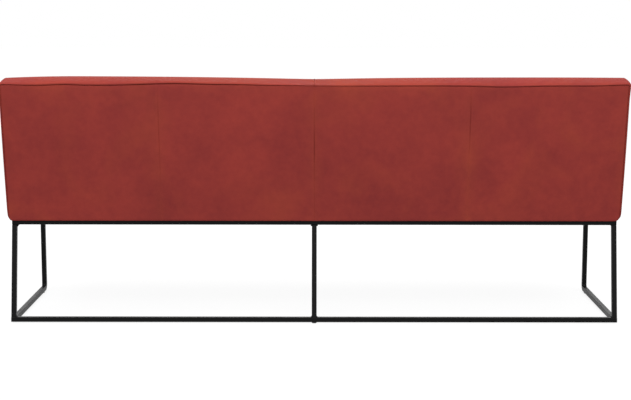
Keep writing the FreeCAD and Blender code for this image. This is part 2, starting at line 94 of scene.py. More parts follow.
def floats(name, about, default, **kind):
    """A number, or as many of them as the default has."""
    if len(default) == 1:
        return FloatProperty(name=name, description=about, default=default[0], **kind)
    return FloatVectorProperty(name=name, description=about, default=default, size=len(default), **kind)


def metres(name, about, *default):
    """One or more lengths."""
    return floats(name, about, default, unit="LENGTH")


def number(name, about, *default):
    """One or more plain numbers."""
    return floats(name, about, default)


def fraction(name, about, default):
    """A share from 0 to 1."""
    return floats(name, about, [default], subtype="FACTOR")


def radians(name, about, default):
    """An angle, which the sidebar shows in degrees."""
    return floats(name, about, [default], subtype="ANGLE")


def colour(name, about, *default):
    """Red, green and blue as they look, from 0 to 1."""
    return floats(name, about, default, subtype="COLOR_GAMMA")


def whole(name, about, default):
    """A whole number."""
    return IntProperty(name=name, description=about, default=default)


class BackSizes(bpy.types.PropertyGroup):
    """Sizes of the upholstered back; pairs give the +X half first, and the strip is the top with both ends"""

    lean: radians("Lean", "How far the back leans to the rear", math.radians(10))
    crown: metres("Top crown", "Rise of the top band over its seams on each half", 0.0134, 0.0098)
    centre_crown: metres("Centre crown", "Rise of the top band that the centre seam leaves", 0.0010)
    dip_reach: number("Dip reach", "Share of each half over which the dip at the centre fades", 0.34, 0.25)
    dip_softness: number("Dip softness", "1 for a dip with a sharp bottom, 2 for a round one", 1.2)
    roll: metres("Roll", "Radius with which the strip turns over from its seams", 0.012)
    overhang: metres("Overhang", "How far the strip bulges past its seams", 0.0030)
    roll_width: metres("Roll width", "Width of leather in the roll on each edge of the strip", 0.014)
    hump: fraction("Hump", "Share of the crown that lies between the rolls", 0.15)
    end_fall: metres("End fall", "How far the top band falls towards each end", 0.0075, 0.0006)
    end_fall_start: fraction("End fall start", "Share of half the bench where that starts", 0.75)
    seam_drop: metres("Seam drop", "How far the rear top seam hangs below the frame's line", 0.0017)
    wave_places: metres(
        "Wave places", "Where along the bench the rear top seam waves up or down",
        0.44, 0.79, -0.60, 0.06, 0.98, -0.98, 0.24)
    wave_heights: metres(
        "Wave heights", "How far it waves up there",
        0.0058, 0.0027, -0.0030, 0.0018, 0.0030, 0.0032, 0.0024)
    wave_reaches: metres(
        "Wave reaches", "Length over which each wave fades", 0.14, 0.05, 0.09, 0.12, 0.05, 0.06, 0.08)
    wave_fade: number("Wave fade", "How fast the waves fade towards the front, and downwards", 4, 6)
    top_pull: number("Top pull", "How much deeper the rear top seam is on both sides of the middle", 1.0)
    top_pull_reaches: metres("Top pull reaches", "Lengths over which that starts and fades", 0.12, 0.45)
    pinch_places: number(
        "Pinch places", "Share of the height where each upright rear seam is deepest, -X seam first",
        0.72, 0.55, 0.64)
    pinch_reaches: number(
        "Pinch reaches", "Share of the height over which each gets shallow", 0.20, 0.13, 0.25)
    pinch_depths: number("Pinch depths", "Depth of each there, as a share of a full seam", 0.80, 1.00, 0.60)
    slack_depths: number("Slack depths", "Depth of each away from there", 0.12, 0.38, 0.12)
    front_seam: fraction("Front seam", "Depth of the front's centre seam, as a share of a full seam", 0.75)
    band_seam: fraction("Band seam", "Depth of the top band's centre seam", 0.7)
    edge_seam: fraction("Edge seam", "Depth of the seams along both edges of the strip", 0.9)
    swells: metres("Swells", "Swelling of the filled rear, front and strip", 0.0018, 0.005, 0.0015)
    seam_tuck: metres("Seam tuck", "How far the top seams draw in the panels below them", 0.0014)
    seam_tuck_reach: metres("Seam tuck reach", "Height over which that fades", 0.009)
    corner_puff: metres("Corner puff", "How far the ends swell out more at their top corners", 0.004)
    corner_puff_reach: metres("Corner puff reach", "Height over which that fades", 0.03)
    front_swell: metres("Front swell", "Rise of the front over a straight line", 0.014)
    end_swell: metres("End swell", "Rise of the end panels over their seams", 0.006)
    end_hem: metres("End hem", "Height over which the end panels draw in to their hem", 0.035)
    panel_corner: metres("Panel corner", "Radius of the top corners of the rear and front panels", 0.004)
    strip_corner: metres("Strip corner", "Radius of the strip's turn from the top to each end", 0.014, 0.0112)
    low_corner: metres("Low corner", "Radius of the lower corner at each end", 0.0115, 0.017)


class HemSizes(bpy.types.PropertyGroup):
    """Sizes of the covers' lower edges"""

    radius: metres("Hem radius", "Radius with which a cover turns under the frame", 0.004)
    droop: metres("Droop", "How far the turned edge hangs below the frame", 0.002)
    rim: metres("Rim", "Width of the turned edge that hangs", 0.012)
    cloth_room: metres("Cloth room", "How far the hidden underside lies above the dust cloth", 0.003)


class SeatSizes(bpy.types.PropertyGroup):
    """Sizes of the upholstered seat"""

    crown: metres("Seat crown", "Rise of the seat over its seams", 0.016)
    dip: fraction("Dip", "Share of the crown that the centre seam takes away", 0.35)
    dip_reach: fraction("Dip reach", "Share of half the seat over which that fades", 0.2)
    end_fall: fraction("End fall", "Share of the crown that is gone at the ends", 0.6)
    end_fall_power: number("End fall power", "How close to the ends the crown falls", 14)
    turn: metres("Turn", "Distance from the edges over which the top turns up to its crown", 0.03)
    edge_crown: fraction("Edge crown", "Share of the crown at the front and the rear", 0.4)
    fullness: number("Fullness", "Below 1 for a crown that is flatter in between", 0.7)
    top_fade: number("Top fade", "How fast the crown is gone below the top", 12)
    apron_swell: metres("Front swell", "Rise of the front band over its seams", 0.004)
    end_swell: metres("End swell", "Rise of the end panels over their seams", 0.006)
    flatness: number("Flatness", "How flat these rises are upwards, and to the rear", 3, 8)
    corner: metres("Corner", "Radius of the front corners seen from above", 0.014)
    centre_seam: fraction("Centre seam", "Depth of the centre seam, as a share of a full seam", 0.65)
    top_seam: fraction("Top seam", "Depth of the seam round the top", 0.9)
    corner_seam: fraction("Corner seam", "Depth of the upright seams at the front corners", 0.7)
    swells: metres("Swells", "Swelling of the filled front, top and ends", 0.003, 0.006, 0.003)


class ClothSizes(bpy.types.PropertyGroup):
    """Sizes of the dust cloth and its staples"""

    thickness: metres("Thickness", "Thickness of the cloth", 0.0005)
    sag: metres("Sag", "How far the cloth hangs in the middle of each half", 0.005)
    firmness: number("Firmness", "How steeply that sag starts beside the rails", 6)
    pucker: metres("Pucker", "How far the cloth hangs between two staples", 0.0012)
    pucker_reach: metres("Pucker reach", "Distance from the staples over which that fades", 0.03)
    tab_reach: metres("Tab reach", "Distance from a bolt over which its tab carries the cloth", 0.035)
    slit: metres("Slit", "Half the width of the slit for a bolt", 0.0033)
    spacing: metres("Mesh spacing", "Distance between the cuts of the cloth", 0.010)
    sharp: radians("Sharp edge", "Angle from which an edge of the cloth stays sharp", math.radians(40))
    staple_pitch: metres("Staple pitch", "Distance from staple to staple", 0.065)
    staple_inset: metres("Staple inset", "Distance of the staples from the rails", 0.009)
    staple_crown: metres("Staple crown", "Length of a staple", 0.010)
    staple_leg: metres("Staple leg", "Length of a staple's legs above the cloth", 0.002)
    staple_wire: metres("Staple wire", "Thickness of a staple's wire", 0.0009)


class FastenerSizes(bpy.types.PropertyGroup):
    """Sizes of the bolts and the levelling foot"""

    shank_radius: metres("Shank radius", "Radius of a bolt's shank", 0.003)
    head_face: fraction("Head face", "Radius of a head's round face, as a share of its corners", 0.88)
    head_slope: radians("Head slope", "Angle at which a head's corners are turned off", math.radians(30))
    head_turn: radians("Head turn", "Turn of the head from one bolt to the next", math.radians(15))
    head_sharp: radians("Sharp edge", "Angle from which an edge of a bolt stays sharp", math.radians(25))
    stud_radius: metres("Stud radius", "Radius over the levelling foot's thread", 0.003)
    thread_depth: metres("Thread depth", "Depth of that thread", 0.0005)
    thread_pitch: metres("Thread pitch", "Rise of that thread in one turn", 0.001)
    round_sides: whole("Round sides", "Flats in the round of a shank or thread", 24)
    ribs: whole("Ribs", "Ribs round the levelling foot's pad", 24)
    rib_depth: metres("Rib depth", "Depth of the grooves between them", 0.0004)
    pad_chamfer: metres("Pad chamfer", "Broken lower edge of the pad", 0.0008)
    pad_sharp: radians("Sharp pad edge", "Angle from which an edge of the pad stays sharp", math.radians(30))


class WeldSizes(bpy.types.PropertyGroup):
    """Sizes of the base's welds"""

    ripples: whole("Ripples", "Ripples in one weld", 7)
    ripple_cuts: whole("Ripple cuts", "Rows of the mesh in one ripple", 6)
    ripple_depth: fraction("Ripple depth", "Depth of the ripples, as a share of the weld's legs", 0.13)
    ripple_bow: number("Ripple bow", "How far the middle of a ripple runs ahead, in ripples", 0.5)
    hollow: fraction("Hollow", "Place of the face's middle along both legs, a half for a flat face", 0.44)
    end: fraction("End", "Share of the length over which a weld starts and stops", 0.12)
    end_size: fraction("End size", "Size of its very ends, as a share of the weld's legs", 0.6)
    reach: metres("Reach", "A distance longer than a weld and shorter than from weld to weld", 0.015)
    left_growth: number("Left growth", "How much larger the weld on top of the left rear leg is", 2.2)
    sharp: radians("Sharp edge", "Angle from which an edge of a weld stays sharp", math.radians(50))


class SewingSizes(bpy.types.PropertyGroup):
    """Sizes of seams, and how the covers are filled"""

    seam_half: metres("Seam half width", "Half the width of the groove at a seam", 0.0013)
    seam_steps: number(
        "Seam steps", "Places of the cuts beside a seam of the seat, in half widths of its groove", 1, 3.5, 8)
    seam_depth: metres("Seam depth", "Depth of a full seam", 0.0034)
    crease: fraction("Crease", "How sharp a seam stays when its cover is smoothed", 0.7)
    # The same distance sets how far the painted highlight beside a seam reaches
    pull: metres("Pull", "Distance over which the leather puckers beside a seam", 0.016)
    spacing: metres("Mesh spacing", "Distance between the cuts of a panel before it is smoothed", 0.016)
    ironing: whole("Ironing", "Passes that even out short ripples of the filled cover", 40)
    pressure: number("Filling pressure", "Pressure of the filling against the cover", 4.0)
    frames: whole("Filling frames", "Frames for which the filling presses on the cover", 20)
    stretch: number("Stretch stiffness", "Stiffness of the leather against stretching and squeezing", 20.0)
    bending: number("Bending stiffness", "Stiffness of the leather against bending", 2.0)
    mass: number("Leather mass", "Mass of each point of the cover", 0.15)


class BenchColours(bpy.types.PropertyGroup):
    """Colours as they look in plain light"""

    leather: colour("Leather", "Main tone of the leather", 0.674, 0.267, 0.233)
    # The leather shade at half is also the painted shade in the seams' grooves
    leather_dark: colour("Leather shade", "Darker, cooler patches of the leather", 0.508, 0.197, 0.200)
    # Used for rubbed patches, for the painted highlight beside the seams and for the painted light on the top
    # band
    leather_rub_and_highlight: colour("Leather glow", "Rubbed, warmer patches of the leather", 0.704, 0.325, 0.214)
    leather_sheen: colour("Leather sheen", "Soft gleam of the leather", 0.95, 0.52, 0.42)
    steel: colour("Powder coat", "Coat of the steel base", 0.046, 0.045, 0.046)
    plastic: colour("Plastic", "Glides and levelling foot", 0.130, 0.130, 0.130)
    zinc: colour("Zinc", "Bolts, staples and nut", 0.740, 0.745, 0.735)
    beech: colour("Beech", "Light tone of the wooden frame", 0.800, 0.665, 0.500)
    beech_dark: colour("Beech shade", "Dark tone of the wooden frame", 0.660, 0.500, 0.340)
    webbing: colour("Webbing", "Elastic straps", 0.420, 0.370, 0.290)
    foam: colour("Foam", "Filling", 0.920, 0.890, 0.750)
    cloth: colour("Dust cloth", "Cloth under the seat", 0.120, 0.120, 0.125)


class StageSizes(bpy.types.PropertyGroup):
    """Camera, lamps and floor"""

    camera_distance: metres("Camera distance", "From the middle of the bench to the camera behind it", 4.7047)
    camera_side: metres("Camera side", "How far the camera stands off the middle", -0.0031)
    camera_height: metres("Camera height", "Height of the camera", 1.0214)
    camera_pitch: radians("Camera pitch", "How far the camera looks down", 0.1377)
    camera_roll: radians("Camera roll", "Tilt of the camera about its own line of sight", -0.0012)
    lens: number("Lens", "Focal length in millimetres on a 36 mm sensor", 79.36)
    floor_size: metres("Floor size", "Side of the floor", 60.0)
    floor_tone: fraction("Floor tone", "Share of light that the floor gives back, to keep a shadow", 0.18)
    floor_light: fraction("Floor light", "Light on the open floor, whose glow fills it up to white", 0.8)
    room_level: number("Room level", "Even light from all round", 0.42)
    overhead_level: number("Overhead level", "Wide soft light from above and behind", 1.55)
    overhead_tilt: radians("Overhead tilt", "How far the overhead light leans to the rear", math.radians(25))
    overhead_spread: radians("Overhead spread", "Width of that light seen from the bench", math.radians(60))
    fill_power: floats("Fill power", "Soft boxes before and behind the bench", [69.0], unit="POWER")
    fill_place: metres("Fill place", "Distance from the middle and height of the soft boxes", 3.2, 2.3)
    fill_size: metres("Fill size", "Width and height of the soft boxes", 4.0, 2.0)
    rear_aim: metres("Rear aim", "Point that the soft box behind the bench looks at", 0.0, 0.2, 0.5)
    front_aim: metres("Front aim", "Point that the soft box before it looks at", 0.0, 0.0, 0.5)


def linear(shown, factor=1.0):
    """A colour as it looks, lightened or darkened by a factor and made ready for light: four numbers."""
    tones = [factor * tone for tone in shown]
    return [tone / 12.92 if tone <= 0.04045 else ((tone + 0.055) / 1.055) ** 2.4 for tone in tones] + [1.0]


def feed(socket, value):
    """Links a Shade to a socket, or sets the socket to a plain value."""
    if isinstance(value, Shade):
        socket.id_data.links.new(value.socket, socket)
    else:
        socket.default_value = value


class Shade:
    """One socket of a material: arithmetic on it adds Math nodes, and node() adds any other node."""

    def __init__(self, socket):
        self.socket = socket

    def node(self, kind, settings, inputs, output=0):
        """Adds a node with its settings first and then the values or links of its sockets."""
        made = self.socket.id_data.nodes.new("ShaderNode" + kind)
        for name, value in settings.items():
            setattr(made, name, value)
        for name, value in inputs.items():
            feed(made.inputs[name], value)
        return Shade(made.outputs[output])

    def math(self, operation, first, second):
        """Adds a Math node."""
        return self.node("Math", {"operation": operation}, {0: first, 1: second})

    def __add__(self, other):
        return self.math("ADD", self, other)

    def __radd__(self, other):
        return self.math("ADD", other, self)

    def __mul__(self, other):
        return self.math("MULTIPLY", self, other)


def noise(place, scale, detail=2.0, roughness=0.5, distortion=0.0):
    """Soft noise from 0 to 1, with scale in waves a metre."""
    return place.node("TexNoise", {}, {
        "Vector": place, "Scale": scale, "Detail": detail, "Roughness": roughness, "Distortion": distortion,
    })


def cells(place, scale, randomness=1.0):
    """Distance from the middle of the nearest cell, with scale in cells a metre."""
    inputs = {"Vector": place, "Scale": scale, "Randomness": randomness}
    return place.node("TexVoronoi", {}, inputs, "Distance")


def stored(place, name):
    """A number that the mesh keeps for each of its points."""
    return place.node("Attribute", {"attribute_name": name}, {}, "Fac")


def stretched(place, x, y, z):
    """Places drawn out by a factor on each axis."""
    return place.node("Mapping", {}, {"Vector": place, "Scale": (x, y, z)})


def between(value, low, high):
    """A value carried from the range low to high onto 0 to 1, and held there."""
    return value.node("MapRange", {}, {"Value": value, "From Min": low, "From Max": high})


def tint(amount, first, second):
    """One colour going over into another."""
    return amount.node("Mix", {"data_type": "RGBA"}, {0: amount, 6: first, 7: second}, 2)


def raised(height, distance, strength, **under):
    """A bump from a height of 0 to 1, over another bump where one is given."""
    return height.node("Bump", {}, {"Height": height, "Distance": distance, "Strength": strength, **under})


def paint_leather(place, colours):
    """Soft satin leather: cloudy dye, rubbed patches, fine pebble grain and puckers beside the seams, with
    painted shade darkening the seams, a painted highlight beside them and painted light warming the top band.
    """
    clouds = between(noise(place, 2.6, distortion=0.4), 0.25, 0.75)
    patches = between(noise(place, 9.0, detail=4.0, roughness=0.6, distortion=0.3), 0.25, 0.75)
    mottle = between(noise(place, 46.0, detail=4.0, roughness=0.65), 0.25, 0.75)
    rub = between(noise(place, 4.1, detail=3.0, roughness=0.55, distortion=0.6), 0.50, 0.85)
    uneven = between(noise(place, 6.0), 0.3, 0.7)
    seam, pull = stored(place, "seam"), stored(place, "pull")
    height = place.node("SeparateXYZ", {}, {"Vector": place}, "Z")
    # Painted light: the top band turns warmer towards its top, in patches, as if lit from above
    crest = between(height, BAND_LOW.z, BAND_HIGH.z) * between(noise(place, 1.3, detail=1.0), 0.35, 0.65)
    tone = clouds * 0.35 + patches * 0.35 + mottle * 0.3
    base = tint(tone, linear(colours.leather_dark), linear(colours.leather))
    # Rubbed patches are wear; the glow beside the seams is painted highlight where puffed leather would catch
    # light, partly edge wear; the top band's glow is painted light
    rubbed_and_highlit = tint(rub * 0.3 + pull * uneven * 0.25 + crest * 0.5, base, linear(colours.leather_rub_and_highlight))
    # Painted shade: the seams' grooves darken towards half the leather shade, the deeper the seam the darker
    sewn = tint(between(seam, 0.3, 1.0) * (0.26 + uneven * 0.3), rubbed_and_highlit, linear(colours.leather_dark, 0.5))
    pebbles = place.node("TexVoronoi", {"feature": "SMOOTH_F1"}, {"Vector": place, "Scale": 620.0})
    creases = noise(place, 190.0, detail=3.0)
    puckers = noise(place, 75.0, distortion=0.6) * pull
    grain = raised(pebbles * 0.5 + creases * 0.5, 0.0003, 0.6)
    return {
        "Base Color": sewn,
        "Roughness": 0.70 + patches * 0.08 + creases * 0.08,
        "Normal": raised(puckers, 0.0012, 0.8, Normal=grain),
        "Specular IOR Level": 0.035,
        "Sheen Weight": 0.01,
        "Sheen Roughness": 0.45,
        "Sheen Tint": linear(colours.leather_sheen),
    }


def paint_powder_coat(place, colours):
    """Matt black powder coat with a fine orange-peel skin."""
    peel = noise(place, 900.0)
    wear = between(noise(place, 9.0, detail=4.0), 0.35, 0.75)
    return {
        "Base Color": tint(wear, linear(colours.steel), linear(colours.steel, 1.25)),
        "Roughness": 0.36 + wear * 0.08 + peel * 0.06,
        "Normal": raised(peel, 0.00006, 0.5),
        "Specular IOR Level": 0.10,
    }


def paint_plastic(place, colours):
    """Moulded black plastic with a fine spark texture."""
    spark = noise(place, 1500.0)
    return {
        "Base Color": tint(spark, linear(colours.plastic), linear(colours.plastic, 1.3)),
        "Roughness": 0.5 + spark * 0.15,
        "Normal": raised(spark, 0.00005, 0.5),
    }


def paint_zinc(place, colours):
    """Zinc plate with soft spangles."""
    spangle = cells(place, 420.0)
    return {
        "Base Color": tint(spangle, linear(colours.zinc), linear(colours.zinc, 0.8)),
        "Roughness": 0.30 + spangle * 0.2,
        "Metallic": 1.0,
    }


def paint_beech(place, colours):
    """Raw beech with long growth lines along the bench and short dark flecks."""
    rings = place.node("TexWave", {"bands_direction": "Z"}, {
        "Vector": stretched(place, 1.2, 14.0, 14.0), "Scale": 1.6, "Distortion": 5.0, "Detail": 3.0,
    })
    flecks = between(noise(stretched(place, 60.0, 700.0, 700.0), 1.0, detail=1.0), 0.62, 0.72)
    return {
        "Base Color": tint(rings * 0.7 + flecks * 0.3, linear(colours.beech), linear(colours.beech_dark)),
        "Roughness": 0.62 + rings * 0.1,
        "Normal": raised(rings, 0.0002, 0.5),
    }


def paint_webbing(place, colours):
    """Woven elastic webbing."""
    warp, weft = (
        place.node("TexWave", {"bands_direction": way}, {"Vector": place, "Scale": 90.0}) for way in "XY")
    weave = warp * weft
    return {
        "Base Color": tint(weave, linear(colours.webbing, 0.6), linear(colours.webbing)),
        "Roughness": 0.8 + weave * 0.1,
        "Normal": raised(weave, 0.0004, 0.7),
    }


def paint_foam(place, colours):
    """Open-cell upholstery foam."""
    pores = cells(place, 500.0)
    return {
        "Base Color": tint(pores, linear(colours.foam, 0.8), linear(colours.foam)),
        "Roughness": 0.85 + pores * 0.1,
        "Normal": raised(pores, 0.0005, 0.8),
    }


def paint_dust_cloth(place, colours):
    """Black non-woven cloth with a spot-bonded pattern."""
    fibres = noise(place, 420.0, detail=4.0, roughness=0.7)
    dots = between(cells(place, 380.0, randomness=0.15), 0.2, 0.45)
    return {
        "Base Color": tint(fibres, linear(colours.cloth), linear(colours.cloth, 1.6)),
        "Roughness": 0.85 + fibres * 0.1,
        "Normal": raised(dots * 0.6 + fibres * 0.4, 0.0003, 0.7),
    }


PAINTS = {
    "leather": paint_leather,
    "steel": paint_powder_coat,
    "plastic": paint_plastic,
    "zinc": paint_zinc,
    "wood": paint_beech,
    "webbing": paint_webbing,
    "foam": paint_foam,
    "dust_cloth": paint_dust_cloth,
}


def finish_of(slot):
    """The material of a slot, made when it is first asked for."""
    name = "bench_" + slot
    if name in bpy.data.materials:
        return bpy.data.materials[name]
    material = bpy.data.materials.new(name)
    material.use_nodes = True
    nodes = material.node_tree.nodes
    place = Shade(nodes.new("ShaderNodeTexCoord").outputs["Object"])
    for socket, value in PAINTS[slot](place, bpy.context.scene.bench_colours).items():
        feed(nodes["Principled BSDF"].inputs[socket], value)
    return material


def dress(obj, slot):
    """Gives an object its slot's finish all over."""
    obj.data.materials.clear()
    obj.data.materials.append(finish_of(slot))


def only(obj):
    """Makes one object selected and active."""
    bpy.ops.object.select_all(action="DESELECT")
    obj.select_set(True)
    bpy.context.view_layer.objects.active = obj


def named(obj, name):
    """Gives an object and its mesh a name."""
    obj.name = name
    obj.data.name = name
    return obj


def points_of(obj):
    """The places of a mesh's points, as rows."""
    places = np.empty(len(obj.data.vertices) * 3, np.float32)
    obj.data.vertices.foreach_get("co", places)
    return places.reshape(-1, 3).astype(float)


def set_points(obj, places):
    """Moves a mesh's points."""
    obj.data.vertices.foreach_set("co", places.astype(np.float32).ravel())
    obj.data.update()


def normals_of(obj):
    """The directions in which a mesh's points face, as rows."""
    directions = np.empty(len(obj.data.vertices) * 3, np.float32)
    obj.data.vertex_normals.foreach_get("vector", directions)
    return directions.reshape(-1, 3).astype(float)


def edge_ends(obj):
    """The two points of each edge, as rows."""
    ends = np.empty(len(obj.data.edges) * 2, np.int32)
    obj.data.edges.foreach_get("vertices", ends)
    return ends.reshape(-1, 2)


def modified(obj, kind, **settings):
    """Adds a modifier with its settings and applies it."""
    only(obj)
    modifier = obj.modifiers.new(kind, kind)
    for name, value in settings.items():
        setattr(modifier, name, value)
    bpy.ops.object.modifier_apply(modifier=modifier.name)


def smoothed(obj, sharp):
    """Smooths an object but for its edges from a sharp angle on."""
    only(obj)
    bpy.ops.object.shade_smooth_by_angle(angle=sharp)
    return obj


def new_block(name, low, high):
    """A cube primitive brought to two corners."""
    bpy.ops.object.select_all(action="DESELECT")
    low, high = Vector(low), Vector(high)
    bpy.ops.mesh.primitive_cube_add(size=1, location=(low + high) / 2, scale=high - low)
    bpy.ops.object.transform_apply(location=True, rotation=True, scale=True)
    return named(bpy.context.object, name)


def new_cylinder(sides, radius, low, high):
    """A cylinder primitive about the upright axis."""
    bpy.ops.object.select_all(action="DESELECT")
    bpy.ops.mesh.primitive_cylinder_add(
        vertices=sides, radius=radius, depth=high - low, location=(0, 0, (low + high) / 2))
    return bpy.context.object


def even_steps(reach, count):
    """Even steps up to a reach."""
    return [reach * step / count for step in range(1, count + 1)]


def cut_lines(low, high, spacing, seams, steps):
    """Places of the cuts across a panel: close beside each seam, and even in between."""
    offsets = [-step for step in steps] + [0] + list(steps)
    near_seams = sorted(seam + offset for seam in seams for offset in offsets)
    knots = [low] + [place for place in near_seams if low < place < high] + [high]
    places = []
    for start, end in zip(knots, knots[1:]):
        count = max(1, round((end - start) / spacing))
        places += [start + (end - start) * step / count for step in range(count)]
    return places[1:]


def cut_block(block, axis, places):
    """Cuts a mesh by planes square to an axis."""
    only(block)
    normal = [0.0, 0.0, 0.0]
    normal[axis] = 1.0
    bpy.ops.object.mode_set(mode="EDIT")
    for place in places:
        bpy.ops.mesh.select_all(action="SELECT")
        bpy.ops.mesh.bisect(plane_co=[place * n for n in normal], plane_no=normal)
    bpy.ops.object.mode_set(mode="OBJECT")


def new_cover(name, depth, height, seams_x, steps, spacing):
    """A flat-sided cover with cuts close beside its seams, in the steps given for each axis."""
    cover = new_block(name, (-SEAM_X, 0, 0), (SEAM_X, depth, height))
    spans = [(-SEAM_X, SEAM_X, seams_x), (0, depth, [0, depth]), (0, height, [0, height])]
    for axis, (low, high, seams) in enumerate(spans):
        cut_block(cover, axis, cut_lines(low, high, spacing, seams, steps[axis]))
    return cover


def same(values, place):
    """Where values lie on a cut."""
    return np.abs(values - place) < ON_CUT


def sides_of(flat, depth, height):
    """Which points of a flat-sided cover lie on each of its sides."""
    x, y, z = flat.T
    top, end = same(z, height), same(np.abs(x), SEAM_X)
    return SimpleNamespace(
        front=same(y, 0), rear=same(y, depth), top=top, end=end, low=same(z, 0), strip=top | end)


def round_corner(a, b, a_edge, b_edge, radius):
    """Carries the square corner at (a_edge, b_edge) of a flat grid onto a round one of a radius."""
    a_way = np.sign(a_edge)
    b_way = np.sign(b_edge)
    p = np.clip((a * a_way - (abs(a_edge) - radius)) / radius, 0, 1)
    q = np.clip((b * b_way - (abs(b_edge) - radius)) / radius, 0, 1)
    a_moved = a + a_way * radius * p * (np.sqrt(1 - q * q / 2) - 1)
    b_moved = b + b_way * radius * q * (np.sqrt(1 - p * p / 2) - 1)
    return a_moved, b_moved


def arch(share):
    """A low arch from 0 over 1 at the middle back to 0."""
    return 4 * share * (1 - share)


def quarter_round(share):
    """A quarter circle from 0 up to 1, and level after that."""
    return np.sqrt(1 - (1 - np.clip(share, 0, 1)) ** 2)


def plateau(share, power):
    """Nearly 1 over most of the way, and 0 at both ends."""
    return 1 - np.abs(2 * share - 1) ** power


def bell(distance, reach):
    """1 at no distance, fading to nothing past a reach on both sides."""
    return np.exp(-(distance / reach) ** 2)


def strip_section(flat, width, sizes):
    """Section of a strip between two seams: the share of its width at each point, and the rise there.

    A roll leaves each seam outwards and turns over; between the rolls the strip runs straight.
    """
    lift = math.sqrt(2 * sizes.roll * sizes.overhang - sizes.overhang ** 2)
    start = -math.asin(lift / sizes.roll)
    from_seam = np.minimum(flat, width - flat)
    turn = start + (math.pi / 2 - start) * np.clip(from_seam / sizes.roll_width, 0, 1)
    past_roll = np.clip((from_seam - sizes.roll_width) / (width / 2 - sizes.roll_width), 0, 1)
    roll_end = sizes.roll - sizes.overhang
    inwards = roll_end - sizes.roll * np.cos(turn) + past_roll * (width / 2 - roll_end)
    share = np.where(flat < width / 2, inwards, width - inwards) / width
    rise = (lift + sizes.roll * np.sin(turn)) / (lift + sizes.roll)
    return share, rise + sizes.hump * (arch(past_roll / 2) - rise)


def ironed(cover, swelling, sewn, passes):
    """The swelling without its short ripples: each pass takes the mean of a point's neighbours."""
    first, second = edge_ends(cover).T
    neighbours = np.bincount(np.concatenate([first, second]), minlength=len(swelling))
    for _ in range(passes):
        total = np.zeros_like(swelling)
        np.add.at(total, first, swelling[second])
        np.add.at(total, second, swelling[first])
        swelling = total / neighbours[:, None]
        swelling[sewn] = 0
    return swelling


def fill_cover(cover, sewn, zones, swells, sewing):
    """Presses the filling against the cover as cloth that is held at its seams.

    Each zone of points then keeps the shape of its swelling, at the height given for it.
    """
    start = points_of(cover)
    pins = cover.vertex_groups.new(name="sewn")
    pins.add([int(i) for i in np.flatnonzero(sewn)], 1.0, "REPLACE")
    cloth = cover.modifiers.new("filling", "CLOTH")
    cloth.settings.vertex_group_mass = pins.name
    cloth.settings.use_pressure = True
    cloth.settings.uniform_pressure_force = sewing.pressure
    cloth.settings.effector_weights.gravity = 0.0
    cloth.settings.tension_stiffness = sewing.stretch
    cloth.settings.compression_stiffness = sewing.stretch
    cloth.settings.bending_stiffness = sewing.bending
    cloth.settings.mass = sewing.mass
    cloth.point_cache.frame_start = 1
    cloth.point_cache.frame_end = sewing.frames
    scene = bpy.context.scene
    for moment in range(1, sewing.frames + 1):
        scene.frame_set(moment)
    only(cover)
    bpy.ops.object.modifier_apply(modifier=cloth.name)
    scene.frame_set(1)
    swelling = ironed(cover, points_of(cover) - start, sewn, sewing.ironing)
    reach = np.linalg.norm(swelling, axis=1)
    for zone, height in zip(zones, swells):
        swelling[zone] *= height / reach[zone].max()
    set_points(cover, start + swelling)


def keep_values(cover, name, domain, values):
    """Keeps one number for each point or edge of a mesh."""
    kept = cover.data.attributes.new(name, "FLOAT", domain)
    kept.data.foreach_set("value", values.astype(np.float32))


def draw_in(cover, depth, from_seam, sewing):
    """Draws the seams into the cover, and keeps them as attributes and creases."""
    set_points(cover, points_of(cover) - normals_of(cover) * depth[:, None] * sewing.seam_depth)
    # The seam depth is kept to paint shade into the seams' grooves
    keep_values(cover, "seam", "POINT", depth)
    # Nearness to a seam is kept for puckers and for the painted highlight beside the seams
    keep_values(cover, "pull", "POINT", np.exp(-from_seam / sewing.pull))
    on_seam = (depth > 0)[edge_ends(cover)].all(axis=1)
    keep_values(cover, "crease_edge", "EDGE", on_seam * sewing.crease)


def hanging(height, inward, hem):
    """How far the turned lower edge of a cover hangs, for heights over it and distances in from it."""
    return hem.droop * (1 - np.clip(height / hem.rim, 0, 1)) * (1 - np.clip(inward / hem.rim, 0, 1))


def close_cover(cover, on_low, hem):
    """Lifts a cover's underside between the hems off the dust cloth, and smooths the cover."""
    places = points_of(cover)
    inside = on_low & (places[:, 1] > CLOTH_LOW.y) & (places[:, 1] < CLOTH_HIGH.y)
    places[inside, 2] = BASE_Z + hem.cloth_room
    set_points(cover, places)
    modified(cover, "SUBSURF", levels=1, render_levels=1)
    bpy.ops.object.shade_smooth()


